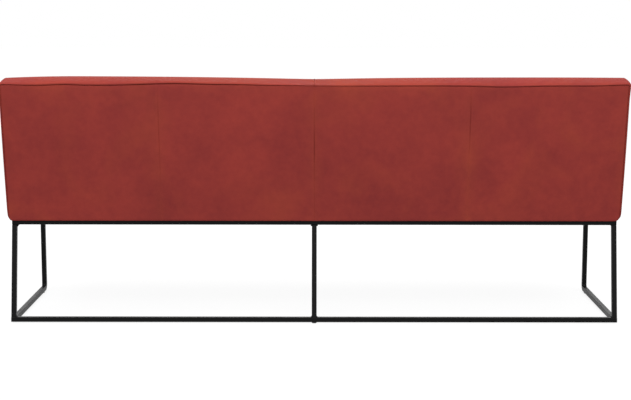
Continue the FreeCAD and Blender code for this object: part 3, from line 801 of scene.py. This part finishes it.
class BENCH_OT_back(bpy.types.Operator):
    """Back upholstery: four rear panels, a top band, the front and the ends, filled and drawn in at seams"""

    bl_idname = "bench.back"
    bl_label = "Back upholstery"

    def execute(self, context):
        sizes = context.scene.bench_back
        sewing = context.scene.bench_sewing
        hem = context.scene.bench_hem
        depth = BAND_HIGH.y - BAND_LOW.y
        height = REAR_HIGH.z - BASE_Z
        seams_x = [SEAM_X * step / 2 for step in range(-2, 3)]
        steps = [sewing.seam_half] + even_steps(max(sizes.strip_corner), CORNER_CUTS)
        roll_steps = [sewing.seam_half] + even_steps(sizes.roll_width, ROLL_CUTS)
        all_steps = [steps, roll_steps, steps]
        cover = new_cover("back_upholstery", depth, height, seams_x, all_steps, sewing.spacing)
        flat = points_of(cover)
        set_points(cover, self.shaped(flat, depth, height, sizes, hem))
        x, y, z = flat.T
        on = sides_of(flat, depth, height)
        seam_depth = self.seam_depths(flat, on, height, seams_x, sizes)
        zones = [on.rear & ~on.strip, on.front & ~on.strip, on.strip]
        fill_cover(cover, (seam_depth > 0) | on.low, zones, sizes.swells, sewing)
        from_upright = np.abs(x[:, None] - np.array(seams_x)).min(axis=1)
        from_seam = np.where(
            on.strip,
            np.minimum(np.minimum(y, depth - y), np.abs(x)),
            np.minimum(from_upright, height - z))
        draw_in(cover, seam_depth, from_seam, sewing)
        close_cover(cover, on.low, hem)
        dress(cover, "leather")
        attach(cover, BENCH)
        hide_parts(*[n for n in LEATHER_NODES if not n.startswith("seat")])
        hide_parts("back_foam_left", "back_foam_right", "rear_padding")
        return {"FINISHED"}

    def seam_depths(self, flat, on, height, seams_x, sizes):
        """Depth of the seams at each point, as a share of a full seam."""
        x, _, z = flat.T
        centre = same(x, 0)
        depths = np.zeros(len(flat))
        depths[centre] = sizes.front_seam
        pinches = zip(
            seams_x[1:-1], sizes.pinch_places, sizes.pinch_reaches, sizes.pinch_depths, sizes.slack_depths)
        for seam, place, reach, deep, slack in pinches:
            on_seam = same(x, seam) & on.rear
            depths[on_seam] = slack + (deep - slack) * bell(z[on_seam] / height - place, reach)
        depths[centre & on.top] = sizes.band_seam
        depths[on.strip & (on.rear | on.front)] = sizes.edge_seam
        top_seam = on.top & on.rear
        begun, faded = (bell(x[top_seam], reach) for reach in sizes.top_pull_reaches)
        depths[top_seam] = 1 + sizes.top_pull * (faded - begun)
        depths[on.low] = 0
        return depths

    def shaped(self, flat, depth, height, sizes, hem):
        """Carries the flat block onto the leaning, crowned back."""
        x, y, z = flat.T
        # The hem turns under the frame and hangs a little at the rear
        droop = hanging(z, depth - y, hem)
        y, from_top = round_corner(y, z - height, depth, -height, hem.radius)
        z = from_top + height
        # The strip rolls over from its seams, less so towards the hem
        settled = np.clip(z / sizes.roll_width, 0, 1) * sides_of(flat, depth, height).strip
        section, rise = strip_section(y, depth, sizes)
        share = y / depth + (section - y / depth) * settled
        swell = rise * settled
        # Seen from behind: a waving seam, swollen ends, a crowned top and round corners
        sway = self.seam_line(x, sizes)
        puff = sizes.corner_puff * bell(height - z, sizes.corner_puff_reach)
        half = SEAM_X + (sizes.end_swell + puff) * swell * quarter_round(z / sizes.end_hem)
        top = height + self.crest(x, sizes) * swell
        strip_corner = np.where(x > 0, *sizes.strip_corner)
        low_corner = np.where(x > 0, *sizes.low_corner)
        radius = sizes.panel_corner + (strip_corner - sizes.panel_corner) * swell
        x = x * half / SEAM_X
        z = z * top / height
        for way in (-1, 1):
            x, z = round_corner(x, z, way * half, top, radius)
            x, fallen = round_corner(x, z - top, way * half, -top, low_corner)
            z = fallen + top
        # Seen from the end: a leaning rear, a swelling front, and both tucked in below the top seams
        over = np.maximum(z - height, 0)
        up = np.minimum(z, height) / height
        rear_y = REAR_HIGH.y - (1 - up) * height * math.tan(sizes.lean)
        rear_z = BASE_Z + up * height
        front_z = BASE_Z + up * (FRONT_HIGH.z - BASE_Z)
        climb = np.clip((front_z - FRONT_LOW.z) / (FRONT_HIGH.z - FRONT_LOW.z), 0, 1)
        front_y = SEAT_REAR_Y + climb * (BAND_LOW.y - SEAT_REAR_Y) - sizes.front_swell * arch(climb)
        tuck = sizes.seam_tuck * np.exp(-(height - np.minimum(z, height)) / sizes.seam_tuck_reach)
        fade_front, fade_down = sizes.wave_fade
        lift = over + share ** fade_front * up ** fade_down * sway
        return np.column_stack([
            x,
            front_y + tuck + (rear_y - front_y - 2 * tuck) * share + lift * math.tan(sizes.lean),
            front_z + (rear_z - front_z) * share + lift - droop,
        ])

    def crest(self, x, sizes):
        """Rise of the top band along the bench: drawn down at the centre seam and falling to the ends."""
        along = np.abs(x) / SEAM_X
        crown = np.where(x > 0, *sizes.crown)
        fall = np.where(x > 0, *sizes.end_fall)
        dip = np.exp(-(along / np.where(x > 0, *sizes.dip_reach)) ** sizes.dip_softness)
        past = np.clip((along - sizes.end_fall_start) / (1 - sizes.end_fall_start), 0, 1)
        return crown - (crown - sizes.centre_crown) * dip - fall * past ** 2

    def seam_line(self, x, sizes):
        """How far the rear top seam lies above the frame's line along the bench."""
        waves = zip(sizes.wave_places, sizes.wave_heights, sizes.wave_reaches)
        return sum(height * bell(x - place, reach) for place, height, reach in waves) - sizes.seam_drop


class BENCH_OT_seat(bpy.types.Operator):
    """Seat upholstery: two top panels, front bands and ends, filled and drawn in at the seams"""

    bl_idname = "bench.seat"
    bl_label = "Seat upholstery"

    def execute(self, context):
        sizes = context.scene.bench_seat
        sewing = context.scene.bench_sewing
        hem = context.scene.bench_hem
        depth = SEAT_REAR_Y - SEAT_LOW.y
        height = APRON_Z - BASE_Z
        steps = [sewing.seam_half * step for step in sewing.seam_steps]
        seams_x = [-SEAM_X, 0, SEAM_X]
        cover = new_cover("seat_upholstery", depth, height, seams_x, [steps, steps, steps], sewing.spacing)
        flat = points_of(cover)
        on = sides_of(flat, depth, height)
        set_points(cover, self.shaped(flat, on, depth, height, sizes, hem))
        x, y, z = flat.T
        seam_depth = np.zeros(len(flat))
        seam_depth[same(x, 0) & (on.top | on.front)] = sizes.centre_seam
        seam_depth[on.top & (on.front | on.end)] = sizes.top_seam
        seam_depth[on.end & on.front] = sizes.corner_seam
        seam_depth[on.low | on.rear] = 0
        held = (seam_depth > 0) | on.low | on.rear
        fill_cover(cover, held, [on.front, on.top, on.end], sizes.swells, sewing)
        from_edge = np.where(on.top, np.minimum(y, SEAM_X - np.abs(x)), height - z)
        draw_in(cover, seam_depth, np.minimum(from_edge, np.abs(x)), sewing)
        close_cover(cover, on.low, hem)
        dress(cover, "leather")
        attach(cover, BENCH)
        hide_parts(*[n for n in LEATHER_NODES if n.startswith("seat")])
        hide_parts("seat_foam_left", "seat_foam_right")
        return {"FINISHED"}

    def shaped(self, flat, on, depth, height, sizes, hem):
        """Carries the flat block onto the crowned seat."""
        x, y, z = flat.T
        from_end = SEAM_X - np.abs(x)
        along = np.abs(x) / SEAM_X
        turned = quarter_round(y / sizes.turn) * quarter_round(from_end / sizes.turn)
        # The hem turns under at the front, and the front corners are round
        droop = hanging(z, y, hem)
        from_rear, from_top = round_corner(y - depth, z - height, -depth, -height, hem.radius)
        y, z = from_rear + depth, from_top + height
        for end in (-SEAM_X, SEAM_X):
            x, from_rear = round_corner(x, y - depth, end, -depth, sizes.corner)
            y = from_rear + depth
        # The top is crowned, and the front and the ends swell between their seams
        back = y / depth
        up = z / height
        dip = sizes.dip * np.exp(-along / sizes.dip_reach)
        crown = sizes.crown * (1 - dip) * (1 - along ** sizes.end_fall_power * sizes.end_fall)
        full = np.clip(arch(back), 0, 1) ** sizes.fullness
        lift = crown * turned * (sizes.edge_crown + (1 - sizes.edge_crown) * full) * up ** sizes.top_fade
        flat_up, flat_back = sizes.flatness
        bulge = sizes.end_swell * plateau(up, flat_up) * plateau(back, flat_back) * on.end
        belly = sizes.apron_swell * plateau(up, flat_up) * on.front
        return np.column_stack([
            x + np.sign(x) * bulge,
            SEAT_LOW.y + y - belly,
            BASE_Z + z + lift - droop,
        ])


def pieces_of(node, reach, axes=3):
    """The points of each of a node's separate pieces, all smaller than a reach on the first axes."""
    left = points_of(frame["nodes"][node])
    pieces = []
    while len(left):
        near = np.linalg.norm((left - left[0])[:, :axes], axis=1) < reach
        pieces.append(left[near])
        left = left[~near]
    return pieces


def middle_of(points):
    """The middle of the box round some points."""
    return (points.min(axis=0) + points.max(axis=0)) / 2


def bolt_middles(reach):
    """Middles of the base's bolts seen from above, each of them narrower than a reach."""
    return [middle_of(points)[:2] for points in pieces_of("base_bolts", reach, 2)]


def pick_points(obj, chosen):
    """Opens a mesh for editing with some points selected."""
    only(obj)
    bpy.ops.object.mode_set(mode="EDIT")
    bpy.ops.mesh.select_mode(type="VERT")
    bpy.ops.mesh.select_all(action="DESELECT")
    bpy.ops.object.mode_set(mode="OBJECT")
    obj.data.vertices.foreach_set("select", chosen)
    bpy.ops.object.mode_set(mode="EDIT")


def joined(name, pieces):
    """Joins pieces into one that keeps its place in its mesh."""
    whole_piece = pieces[0]
    only(whole_piece)
    for piece in pieces[1:]:
        piece.select_set(True)
    if len(pieces) > 1:
        bpy.ops.object.join()
    bpy.ops.object.transform_apply(location=True, rotation=True, scale=True)
    return named(whole_piece, name)


def standing(place, turn):
    """The seat of a copy at a place, with a turn about the upright axis."""
    return Matrix.LocRotScale(Vector(place), Euler((0, 0, turn)), None)


def copied(name, model, seats):
    """Copies a model to each seat and joins the copies."""
    copies = []
    for seat in seats:
        copy = model.copy()
        copy.data = model.data.copy()
        copy.data.transform(seat)
        if seat.determinant() < 0:
            copy.data.flip_normals()
        bpy.context.collection.objects.link(copy)
        copies.append(copy)
    bpy.data.objects.remove(model)
    return joined(name, copies)


class BENCH_OT_dust_cloth(bpy.types.Operator):
    """Dust cloth under the seat: pinched on rails and tabs, stapled beside them and hanging in between"""

    bl_idname = "bench.dust_cloth"
    bl_label = "Dust cloth and staples"

    def execute(self, context):
        sizes = context.scene.bench_cloth
        bolts = bolt_middles(sizes.tab_reach)
        cloth = self.cut_cloth(bolts, sizes)
        places = points_of(cloth)
        places[:, 2] = BASE_Z - self.hang(places, bolts, sizes)
        set_points(cloth, places)
        modified(cloth, "SOLIDIFY", thickness=sizes.thickness, offset=1.0)
        dress(smoothed(cloth, sizes.sharp), "dust_cloth")
        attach(cloth, BENCH)
        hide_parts("dust_cover")
        staples = copied("staples", self.new_staple(sizes), self.staple_seats(bolts, sizes))
        dress(staples, "zinc")
        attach(staples, BENCH)
        return {"FINISHED"}

    def cut_cloth(self, bolts, sizes):
        """The flat cut, with a square slit for each bolt."""
        bpy.ops.object.select_all(action="DESELECT")
        bpy.ops.mesh.primitive_plane_add(size=1, location=(CLOTH_LOW + CLOTH_HIGH) / 2)
        bpy.ops.transform.resize(value=CLOTH_HIGH - CLOTH_LOW)
        cloth = joined("dust_cloth", [bpy.context.object])
        for axis in (0, 1):
            rows = sorted({round(float(bolt[axis]), 5) for bolt in bolts})
            cuts = cut_lines(CLOTH_LOW[axis], CLOTH_HIGH[axis], sizes.spacing, rows, [sizes.slit])
            cut_block(cloth, axis, cuts)
        pick_points(cloth, self.from_bolts(points_of(cloth), bolts) < sizes.slit / 2)
        bpy.ops.mesh.delete(type="VERT")
        bpy.ops.object.mode_set(mode="OBJECT")
        return cloth

    def from_bolts(self, places, bolts):
        """Distance of each point from the nearest bolt."""
        return np.linalg.norm(places[:, None, :2] - np.array(bolts), axis=2).min(axis=1)

    def staple_lines(self, sizes):
        """The front, rear and side lines of staples."""
        inset = sizes.staple_inset
        return FRONT_RAIL_Y + inset, CLOTH_HIGH.y - inset, SIDE_RAIL_X - inset

    def hang(self, places, bolts, sizes):
        """How far each point of the cloth hangs below the frame."""
        x, y, _ = places.T
        front, rear, side = self.staple_lines(sizes)
        across = np.clip((y - front) / (rear - front), 0, 1)
        along = np.clip((np.abs(x) - CENTRE_RAIL_X) / (side - CENTRE_RAIL_X), 0, 1)
        past_tab = np.maximum(self.from_bolts(places, bolts) - sizes.tab_reach, 0)
        loose = plateau(along, sizes.firmness) * (1 - bell(past_tab, sizes.tab_reach))
        from_line = np.minimum(across, 1 - across) * (rear - front)
        pucker = np.sin(math.pi * x / sizes.staple_pitch) ** 2 * np.exp(-from_line / sizes.pucker_reach)
        settled = np.clip(from_line / sizes.spacing, 0, 1)
        return loose * (sizes.sag * arch(across) + sizes.pucker * pucker * settled)

    def new_staple(self, sizes):
        """A staple's crown along X with its two legs, and its edges broken."""
        half = sizes.staple_crown / 2
        wire = sizes.staple_wire
        staple = new_block("staple", (-half, -wire / 2, -wire), (half, wire / 2, 0))
        cut_block(staple, 0, [wire - half, half - wire])
        x, _, z = points_of(staple).T
        pick_points(staple, (np.abs(x) > half - 1.5 * wire) & same(z, 0))
        bpy.ops.mesh.extrude_region_move(TRANSFORM_OT_translate={"value": (0, 0, sizes.staple_leg)})
        bpy.ops.object.mode_set(mode="OBJECT")
        modified(staple, "BEVEL", width=wire / 4, segments=1)
        return staple

    def staple_seats(self, bolts, sizes):
        """Where each staple sits: rows along the front and rear, and along both ends between the tabs."""
        front, rear, side = self.staple_lines(sizes)
        count = int(side / sizes.staple_pitch)
        columns = [way * sizes.staple_pitch * step for way in (-1, 1) for step in range(1, count + 1)]
        seats = [standing((x, y, BASE_Z), 0) for x in columns for y in (front, rear)]
        steps = round((rear - front) / sizes.staple_pitch)
        for step in range(1, steps):
            y = front + (rear - front) * step / steps
            if min(abs(y - bolt[1]) for bolt in bolts) > sizes.tab_reach:
                seats += [standing((x, y, BASE_Z), math.pi / 2) for x in (-side, side)]
        return seats


class BENCH_OT_bolts(bpy.types.Operator):
    """Hexagon-head bolts that hold the seat on the base's tabs"""

    bl_idname = "bench.bolts"
    bl_label = "Base bolts"

    def execute(self, context):
        sizes = context.scene.bench_fasteners
        places = bolt_middles(context.scene.bench_cloth.tab_reach)
        radius = BOLT_HIGH.x - max(place[0] for place in places)
        model = self.new_bolt(radius, TAB_Z - BOLT_LOW.z, BOLT_HIGH.z - TAB_Z, sizes)
        seats = [standing((x, y, TAB_Z), sizes.head_turn * step) for step, (x, y) in enumerate(places)]
        bolts = copied("base_lag_bolts", model, seats)
        dress(bolts, "zinc")
        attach(bolts, BENCH)
        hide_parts("base_bolts")
        return {"FINISHED"}

    def new_bolt(self, radius, height, length, sizes):
        """One bolt: a hexagon head below the tab with its corners turned off, and the shank above."""
        face = radius * sizes.head_face
        head = new_cylinder(6, radius, -height, 0)
        bpy.ops.mesh.primitive_cone_add(
            vertices=2 * sizes.round_sides, radius1=face, radius2=face + height / math.tan(sizes.head_slope),
            depth=height, location=(0, 0, -height / 2))
        blank = bpy.context.object
        modified(head, "BOOLEAN", operation="INTERSECT", object=blank)
        bpy.data.objects.remove(blank)
        shank = new_cylinder(sizes.round_sides, sizes.shank_radius, 0, length)
        return smoothed(joined("bolt", [head, shank]), sizes.head_sharp)


class BENCH_OT_welds(bpy.types.Operator):
    """Welds inside the corners of the base: hollow faces of ripples laid one over the other"""

    bl_idname = "bench.welds"
    bl_label = "Welds"

    def execute(self, context):
        sizes = context.scene.bench_welds
        pieces = pieces_of("weld_beads", sizes.reach)
        left_top = max(pieces, key=lambda points: middle_of(points).sum())
        seats = [self.seat(points, sizes.left_growth if points is left_top else 1) for points in pieces]
        welds = copied("welds", self.new_weld(sizes), seats)
        dress(welds, "steel")
        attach(welds, BENCH)
        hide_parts("weld_beads")
        return {"FINISHED"}

    def new_weld(self, sizes):
        """A weld with legs along X and Y and its length along Z, each of them 1."""
        weld = new_block("weld", (0, 0, 0), (1, 1, 1))
        for axis, cuts in enumerate((WELD_CUTS, WELD_CUTS, sizes.ripple_cuts * sizes.ripples)):
            cut_block(weld, axis, even_steps(1, cuts)[:-1])
        x, y, z = points_of(weld).T
        out = np.maximum(x, y)
        turn = np.where(x > y, y, 2 * out - x) / np.maximum(2 * out, ON_CUT)
        handle = 2 * sizes.hollow - 0.5
        bent = 2 * turn * (1 - turn) * handle
        ripple = np.abs(np.sin(math.pi * (z * sizes.ripples - sizes.ripple_bow * arch(turn))))
        begun = quarter_round(np.minimum(z, 1 - z) / sizes.end)
        grown = sizes.end_size + (1 - sizes.end_size) * begun
        size = out * (1 - sizes.ripple_depth * (1 - ripple)) * grown
        set_points(weld, np.column_stack([((1 - turn) ** 2 + bent) * size, (turn ** 2 + bent) * size, z]))
        return smoothed(weld, sizes.sharp)

    def seat(self, points, growth):
        """Carries the model weld onto one of the frame's welds: corner on corner and length along length."""
        low, high = points.min(axis=0), points.max(axis=0)
        size = high - low
        length = int(np.argmax(size))
        legs = [axis for axis in range(3) if axis != length]
        way = np.where(points.mean(axis=0) < middle_of(points), 1.0, -1.0)
        way[length] = 1.0
        size[legs] *= growth
        seat = np.zeros((4, 4))
        for column, axis in enumerate(legs + [length]):
            seat[axis, column] = way[axis] * size[axis]
        seat[:3, 3] = np.where(way > 0, low, high)
        seat[3, 3] = 1.0
        return Matrix(seat.tolist())


class BENCH_OT_levelling_foot(bpy.types.Operator):
    """Screw-in foot under the rear centre leg: a ribbed pad on a threaded stud"""

    bl_idname = "bench.levelling_foot"
    bl_label = "Levelling foot"

    def execute(self, context):
        sizes = context.scene.bench_fasteners
        middle = (FOOT_LOW + FOOT_HIGH) / 2
        pad = self.new_pad(middle, sizes)
        dress(pad, "plastic")
        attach(pad, "levelling_foot")
        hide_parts("levelling_foot")
        stud = self.new_stud(middle, sizes)
        dress(stud, "zinc")
        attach(stud, "levelling_foot")
        return {"FINISHED"}

    def new_pad(self, middle, sizes):
        """The pad: its lower edge broken, and a grip of ribs round its rim."""
        radius = (FOOT_HIGH.x - FOOT_LOW.x) / 2
        half = FLOOR_RAIL_Z / 2
        pad = new_cylinder(4 * sizes.ribs, radius, -half, half)
        pick_points(pad, same(points_of(pad)[:, 2], -half))
        bpy.ops.mesh.bevel(offset=sizes.pad_chamfer, segments=2)
        bpy.ops.object.mode_set(mode="OBJECT")
        places = points_of(pad)
        x, y, _ = places.T
        on_rim = np.hypot(x, y) > radius - sizes.pad_chamfer / 2
        turn = np.arctan2(y, x) * sizes.ribs
        groove = on_rim * np.clip(0.5 + np.sin(turn), 0, 1) * sizes.rib_depth / radius
        places[:, :2] *= 1 - groove[:, None]
        set_points(pad, places + [middle.x, middle.y, half])
        return smoothed(joined("levelling_pad", [pad]), sizes.pad_sharp)

    def new_stud(self, middle, sizes):
        """The stud: one turn of thread screwed upwards."""
        root = sizes.stud_radius - sizes.thread_depth
        pitch = sizes.thread_pitch
        bpy.ops.object.select_all(action="DESELECT")
        bpy.ops.mesh.primitive_circle_add(vertices=3, radius=root)
        stud = bpy.context.object
        set_points(stud, np.array([[root, 0, 0], [sizes.stud_radius, 0, pitch / 2], [root, 0, pitch]]))
        pick_points(stud, [True, False, True])
        bpy.ops.mesh.delete(type="EDGE")
        bpy.ops.object.mode_set(mode="OBJECT")
        modified(
            stud, "SCREW", screw_offset=pitch, iterations=int((FOOT_HIGH.z - FLOOR_RAIL_Z) / pitch) - 1,
            steps=sizes.round_sides, render_steps=sizes.round_sides, use_merge_vertices=True,
            merge_threshold=pitch / 100)
        bpy.ops.object.mode_set(mode="EDIT")
        bpy.ops.mesh.select_all(action="SELECT")
        bpy.ops.mesh.remove_doubles(threshold=pitch / 100)
        bpy.ops.mesh.fill_holes(sides=0)
        bpy.ops.mesh.select_all(action="SELECT")
        bpy.ops.mesh.normals_make_consistent(inside=False)
        bpy.ops.object.mode_set(mode="OBJECT")
        set_points(stud, points_of(stud) + [middle.x, middle.y, FLOOR_RAIL_Z])
        return joined("levelling_stud", [stud])


class BENCH_OT_finishes(bpy.types.Operator):
    """Finishes of the steel base, its feet and fasteners, and of what the covers hide"""

    bl_idname = "bench.finishes"
    bl_label = "Finishes of the frame"

    def execute(self, context):
        for subpart in frame["record"]["subparts"]:
            dress(frame["nodes"][subpart["node"]], subpart["material_slot"])
        return {"FINISHED"}


def soft_box(name, place, target, size, power):
    """A rectangular lamp that looks at a point."""
    bpy.ops.object.light_add(type="AREA", location=place)
    lamp = bpy.context.object
    lamp.name = name
    lamp.data.shape = "RECTANGLE"
    lamp.data.size, lamp.data.size_y = size
    lamp.data.energy = power
    lamp.visible_camera = False
    lamp.rotation_euler = (Vector(target) - Vector(place)).to_track_quat("-Z", "Y").to_euler()


def seen_ray(tree):
    """1 on rays that show the background: straight, mirrored or through glass."""
    path = tree.nodes.new("ShaderNodeLightPath")
    straight, mirrored, through = (
        Shade(path.outputs[name]) for name in ("Is Camera Ray", "Is Glossy Ray", "Is Transmission Ray"))
    return straight.math("MAXIMUM", straight.math("MAXIMUM", straight, mirrored), through)


class BENCH_OT_stage(bpy.types.Operator):
    """Camera at the photograph's place, soft boxes, pale floor and white room"""

    bl_idname = "bench.stage"
    bl_label = "Stage"

    def execute(self, context):
        sizes = context.scene.bench_stage
        self.add_camera(context.scene, sizes)
        self.add_lamps(sizes)
        self.add_floor(sizes)
        self.add_room(context.scene, sizes)
        context.scene.view_settings.view_transform = "Standard"
        return {"FINISHED"}

    def add_camera(self, scene, sizes):
        """The camera at the photograph's place."""
        place = (sizes.camera_side, sizes.camera_distance, sizes.camera_height)
        turn = (math.pi / 2 - sizes.camera_pitch, sizes.camera_roll, math.pi)
        bpy.ops.object.camera_add(location=place, rotation=turn)
        camera = bpy.context.object
        camera.name = "camera"
        camera.data.lens = sizes.lens
        scene.camera = camera

    def add_lamps(self, sizes):
        """A wide light overhead, and a soft box behind the bench and before it."""
        bpy.ops.object.light_add(type="SUN", rotation=(-sizes.overhead_tilt, 0, 0))
        overhead = bpy.context.object
        overhead.name = "overhead"
        overhead.data.energy = sizes.overhead_level
        overhead.data.angle = sizes.overhead_spread
        away, high = sizes.fill_place
        soft_box("rear_fill", (0, away, high), sizes.rear_aim, sizes.fill_size, sizes.fill_power)
        soft_box("front_fill", (0, -away, high), sizes.front_aim, sizes.fill_size, sizes.fill_power)

    def add_floor(self, sizes):
        """A floor that looks white where it is open and keeps a faint shadow."""
        bpy.ops.mesh.primitive_plane_add(size=sizes.floor_size)
        floor = bpy.context.object
        floor.name = "floor"
        material = bpy.data.materials.new("floor")
        material.use_nodes = True
        tree = material.node_tree
        tree.nodes.clear()
        seen = seen_ray(tree)
        tone = sizes.floor_tone
        matt = seen.node("BsdfDiffuse", {}, {"Color": (tone, tone, tone, 1)})
        glow = seen.node("Emission", {}, {"Strength": seen * (1 - tone * sizes.floor_light)})
        output = tree.nodes.new("ShaderNodeOutputMaterial")
        feed(output.inputs["Surface"], seen.node("AddShader", {}, {0: matt, 1: glow}))
        floor.data.materials.append(material)

    def add_room(self, scene, sizes):
        """A room that looks white and lights evenly, at a lower level."""
        room = bpy.data.worlds.new("room")
        room.use_nodes = True
        background = room.node_tree.nodes["Background"]
        feed(background.inputs["Color"], (1, 1, 1, 1))
        seen = seen_ray(room.node_tree)
        feed(background.inputs["Strength"], seen * (1 - sizes.room_level) + sizes.room_level)
        scene.world = room


class BENCH_PT_panel(bpy.types.Panel):
    """Lists the pieces of the bench"""

    bl_idname = "BENCH_PT_panel"
    bl_label = "Dining bench"
    bl_space_type = "VIEW_3D"
    bl_region_type = "UI"
    bl_category = "Bench"

    def draw(self, context):
        for operator in OPERATORS:
            self.layout.operator(operator.bl_idname)


GROUPS = {
    "bench_back": BackSizes,
    "bench_seat": SeatSizes,
    "bench_hem": HemSizes,
    "bench_cloth": ClothSizes,
    "bench_fasteners": FastenerSizes,
    "bench_welds": WeldSizes,
    "bench_sewing": SewingSizes,
    "bench_colours": BenchColours,
    "bench_stage": StageSizes,
}
OPERATORS = (
    BENCH_OT_finishes, BENCH_OT_back, BENCH_OT_seat, BENCH_OT_dust_cloth, BENCH_OT_bolts, BENCH_OT_welds,
    BENCH_OT_levelling_foot, BENCH_OT_stage,
)


def register():
    for name, group in GROUPS.items():
        bpy.utils.register_class(group)
        setattr(bpy.types.Scene, name, PointerProperty(type=group))
    for operator in OPERATORS:
        bpy.utils.register_class(operator)
    bpy.utils.register_class(BENCH_PT_panel)


def unregister():
    bpy.utils.unregister_class(BENCH_PT_panel)
    for operator in reversed(OPERATORS):
        bpy.utils.unregister_class(operator)
    for name, group in GROUPS.items():
        delattr(bpy.types.Scene, name)
        bpy.utils.unregister_class(group)


def main():
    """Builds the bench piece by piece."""
    register()
    bpy.ops.bench.finishes()
    bpy.ops.bench.back()
    bpy.ops.bench.seat()
    bpy.ops.bench.dust_cloth()
    bpy.ops.bench.bolts()
    bpy.ops.bench.welds()
    bpy.ops.bench.levelling_foot()
    bpy.ops.bench.stage()


if __name__ == "__main__":
    main()
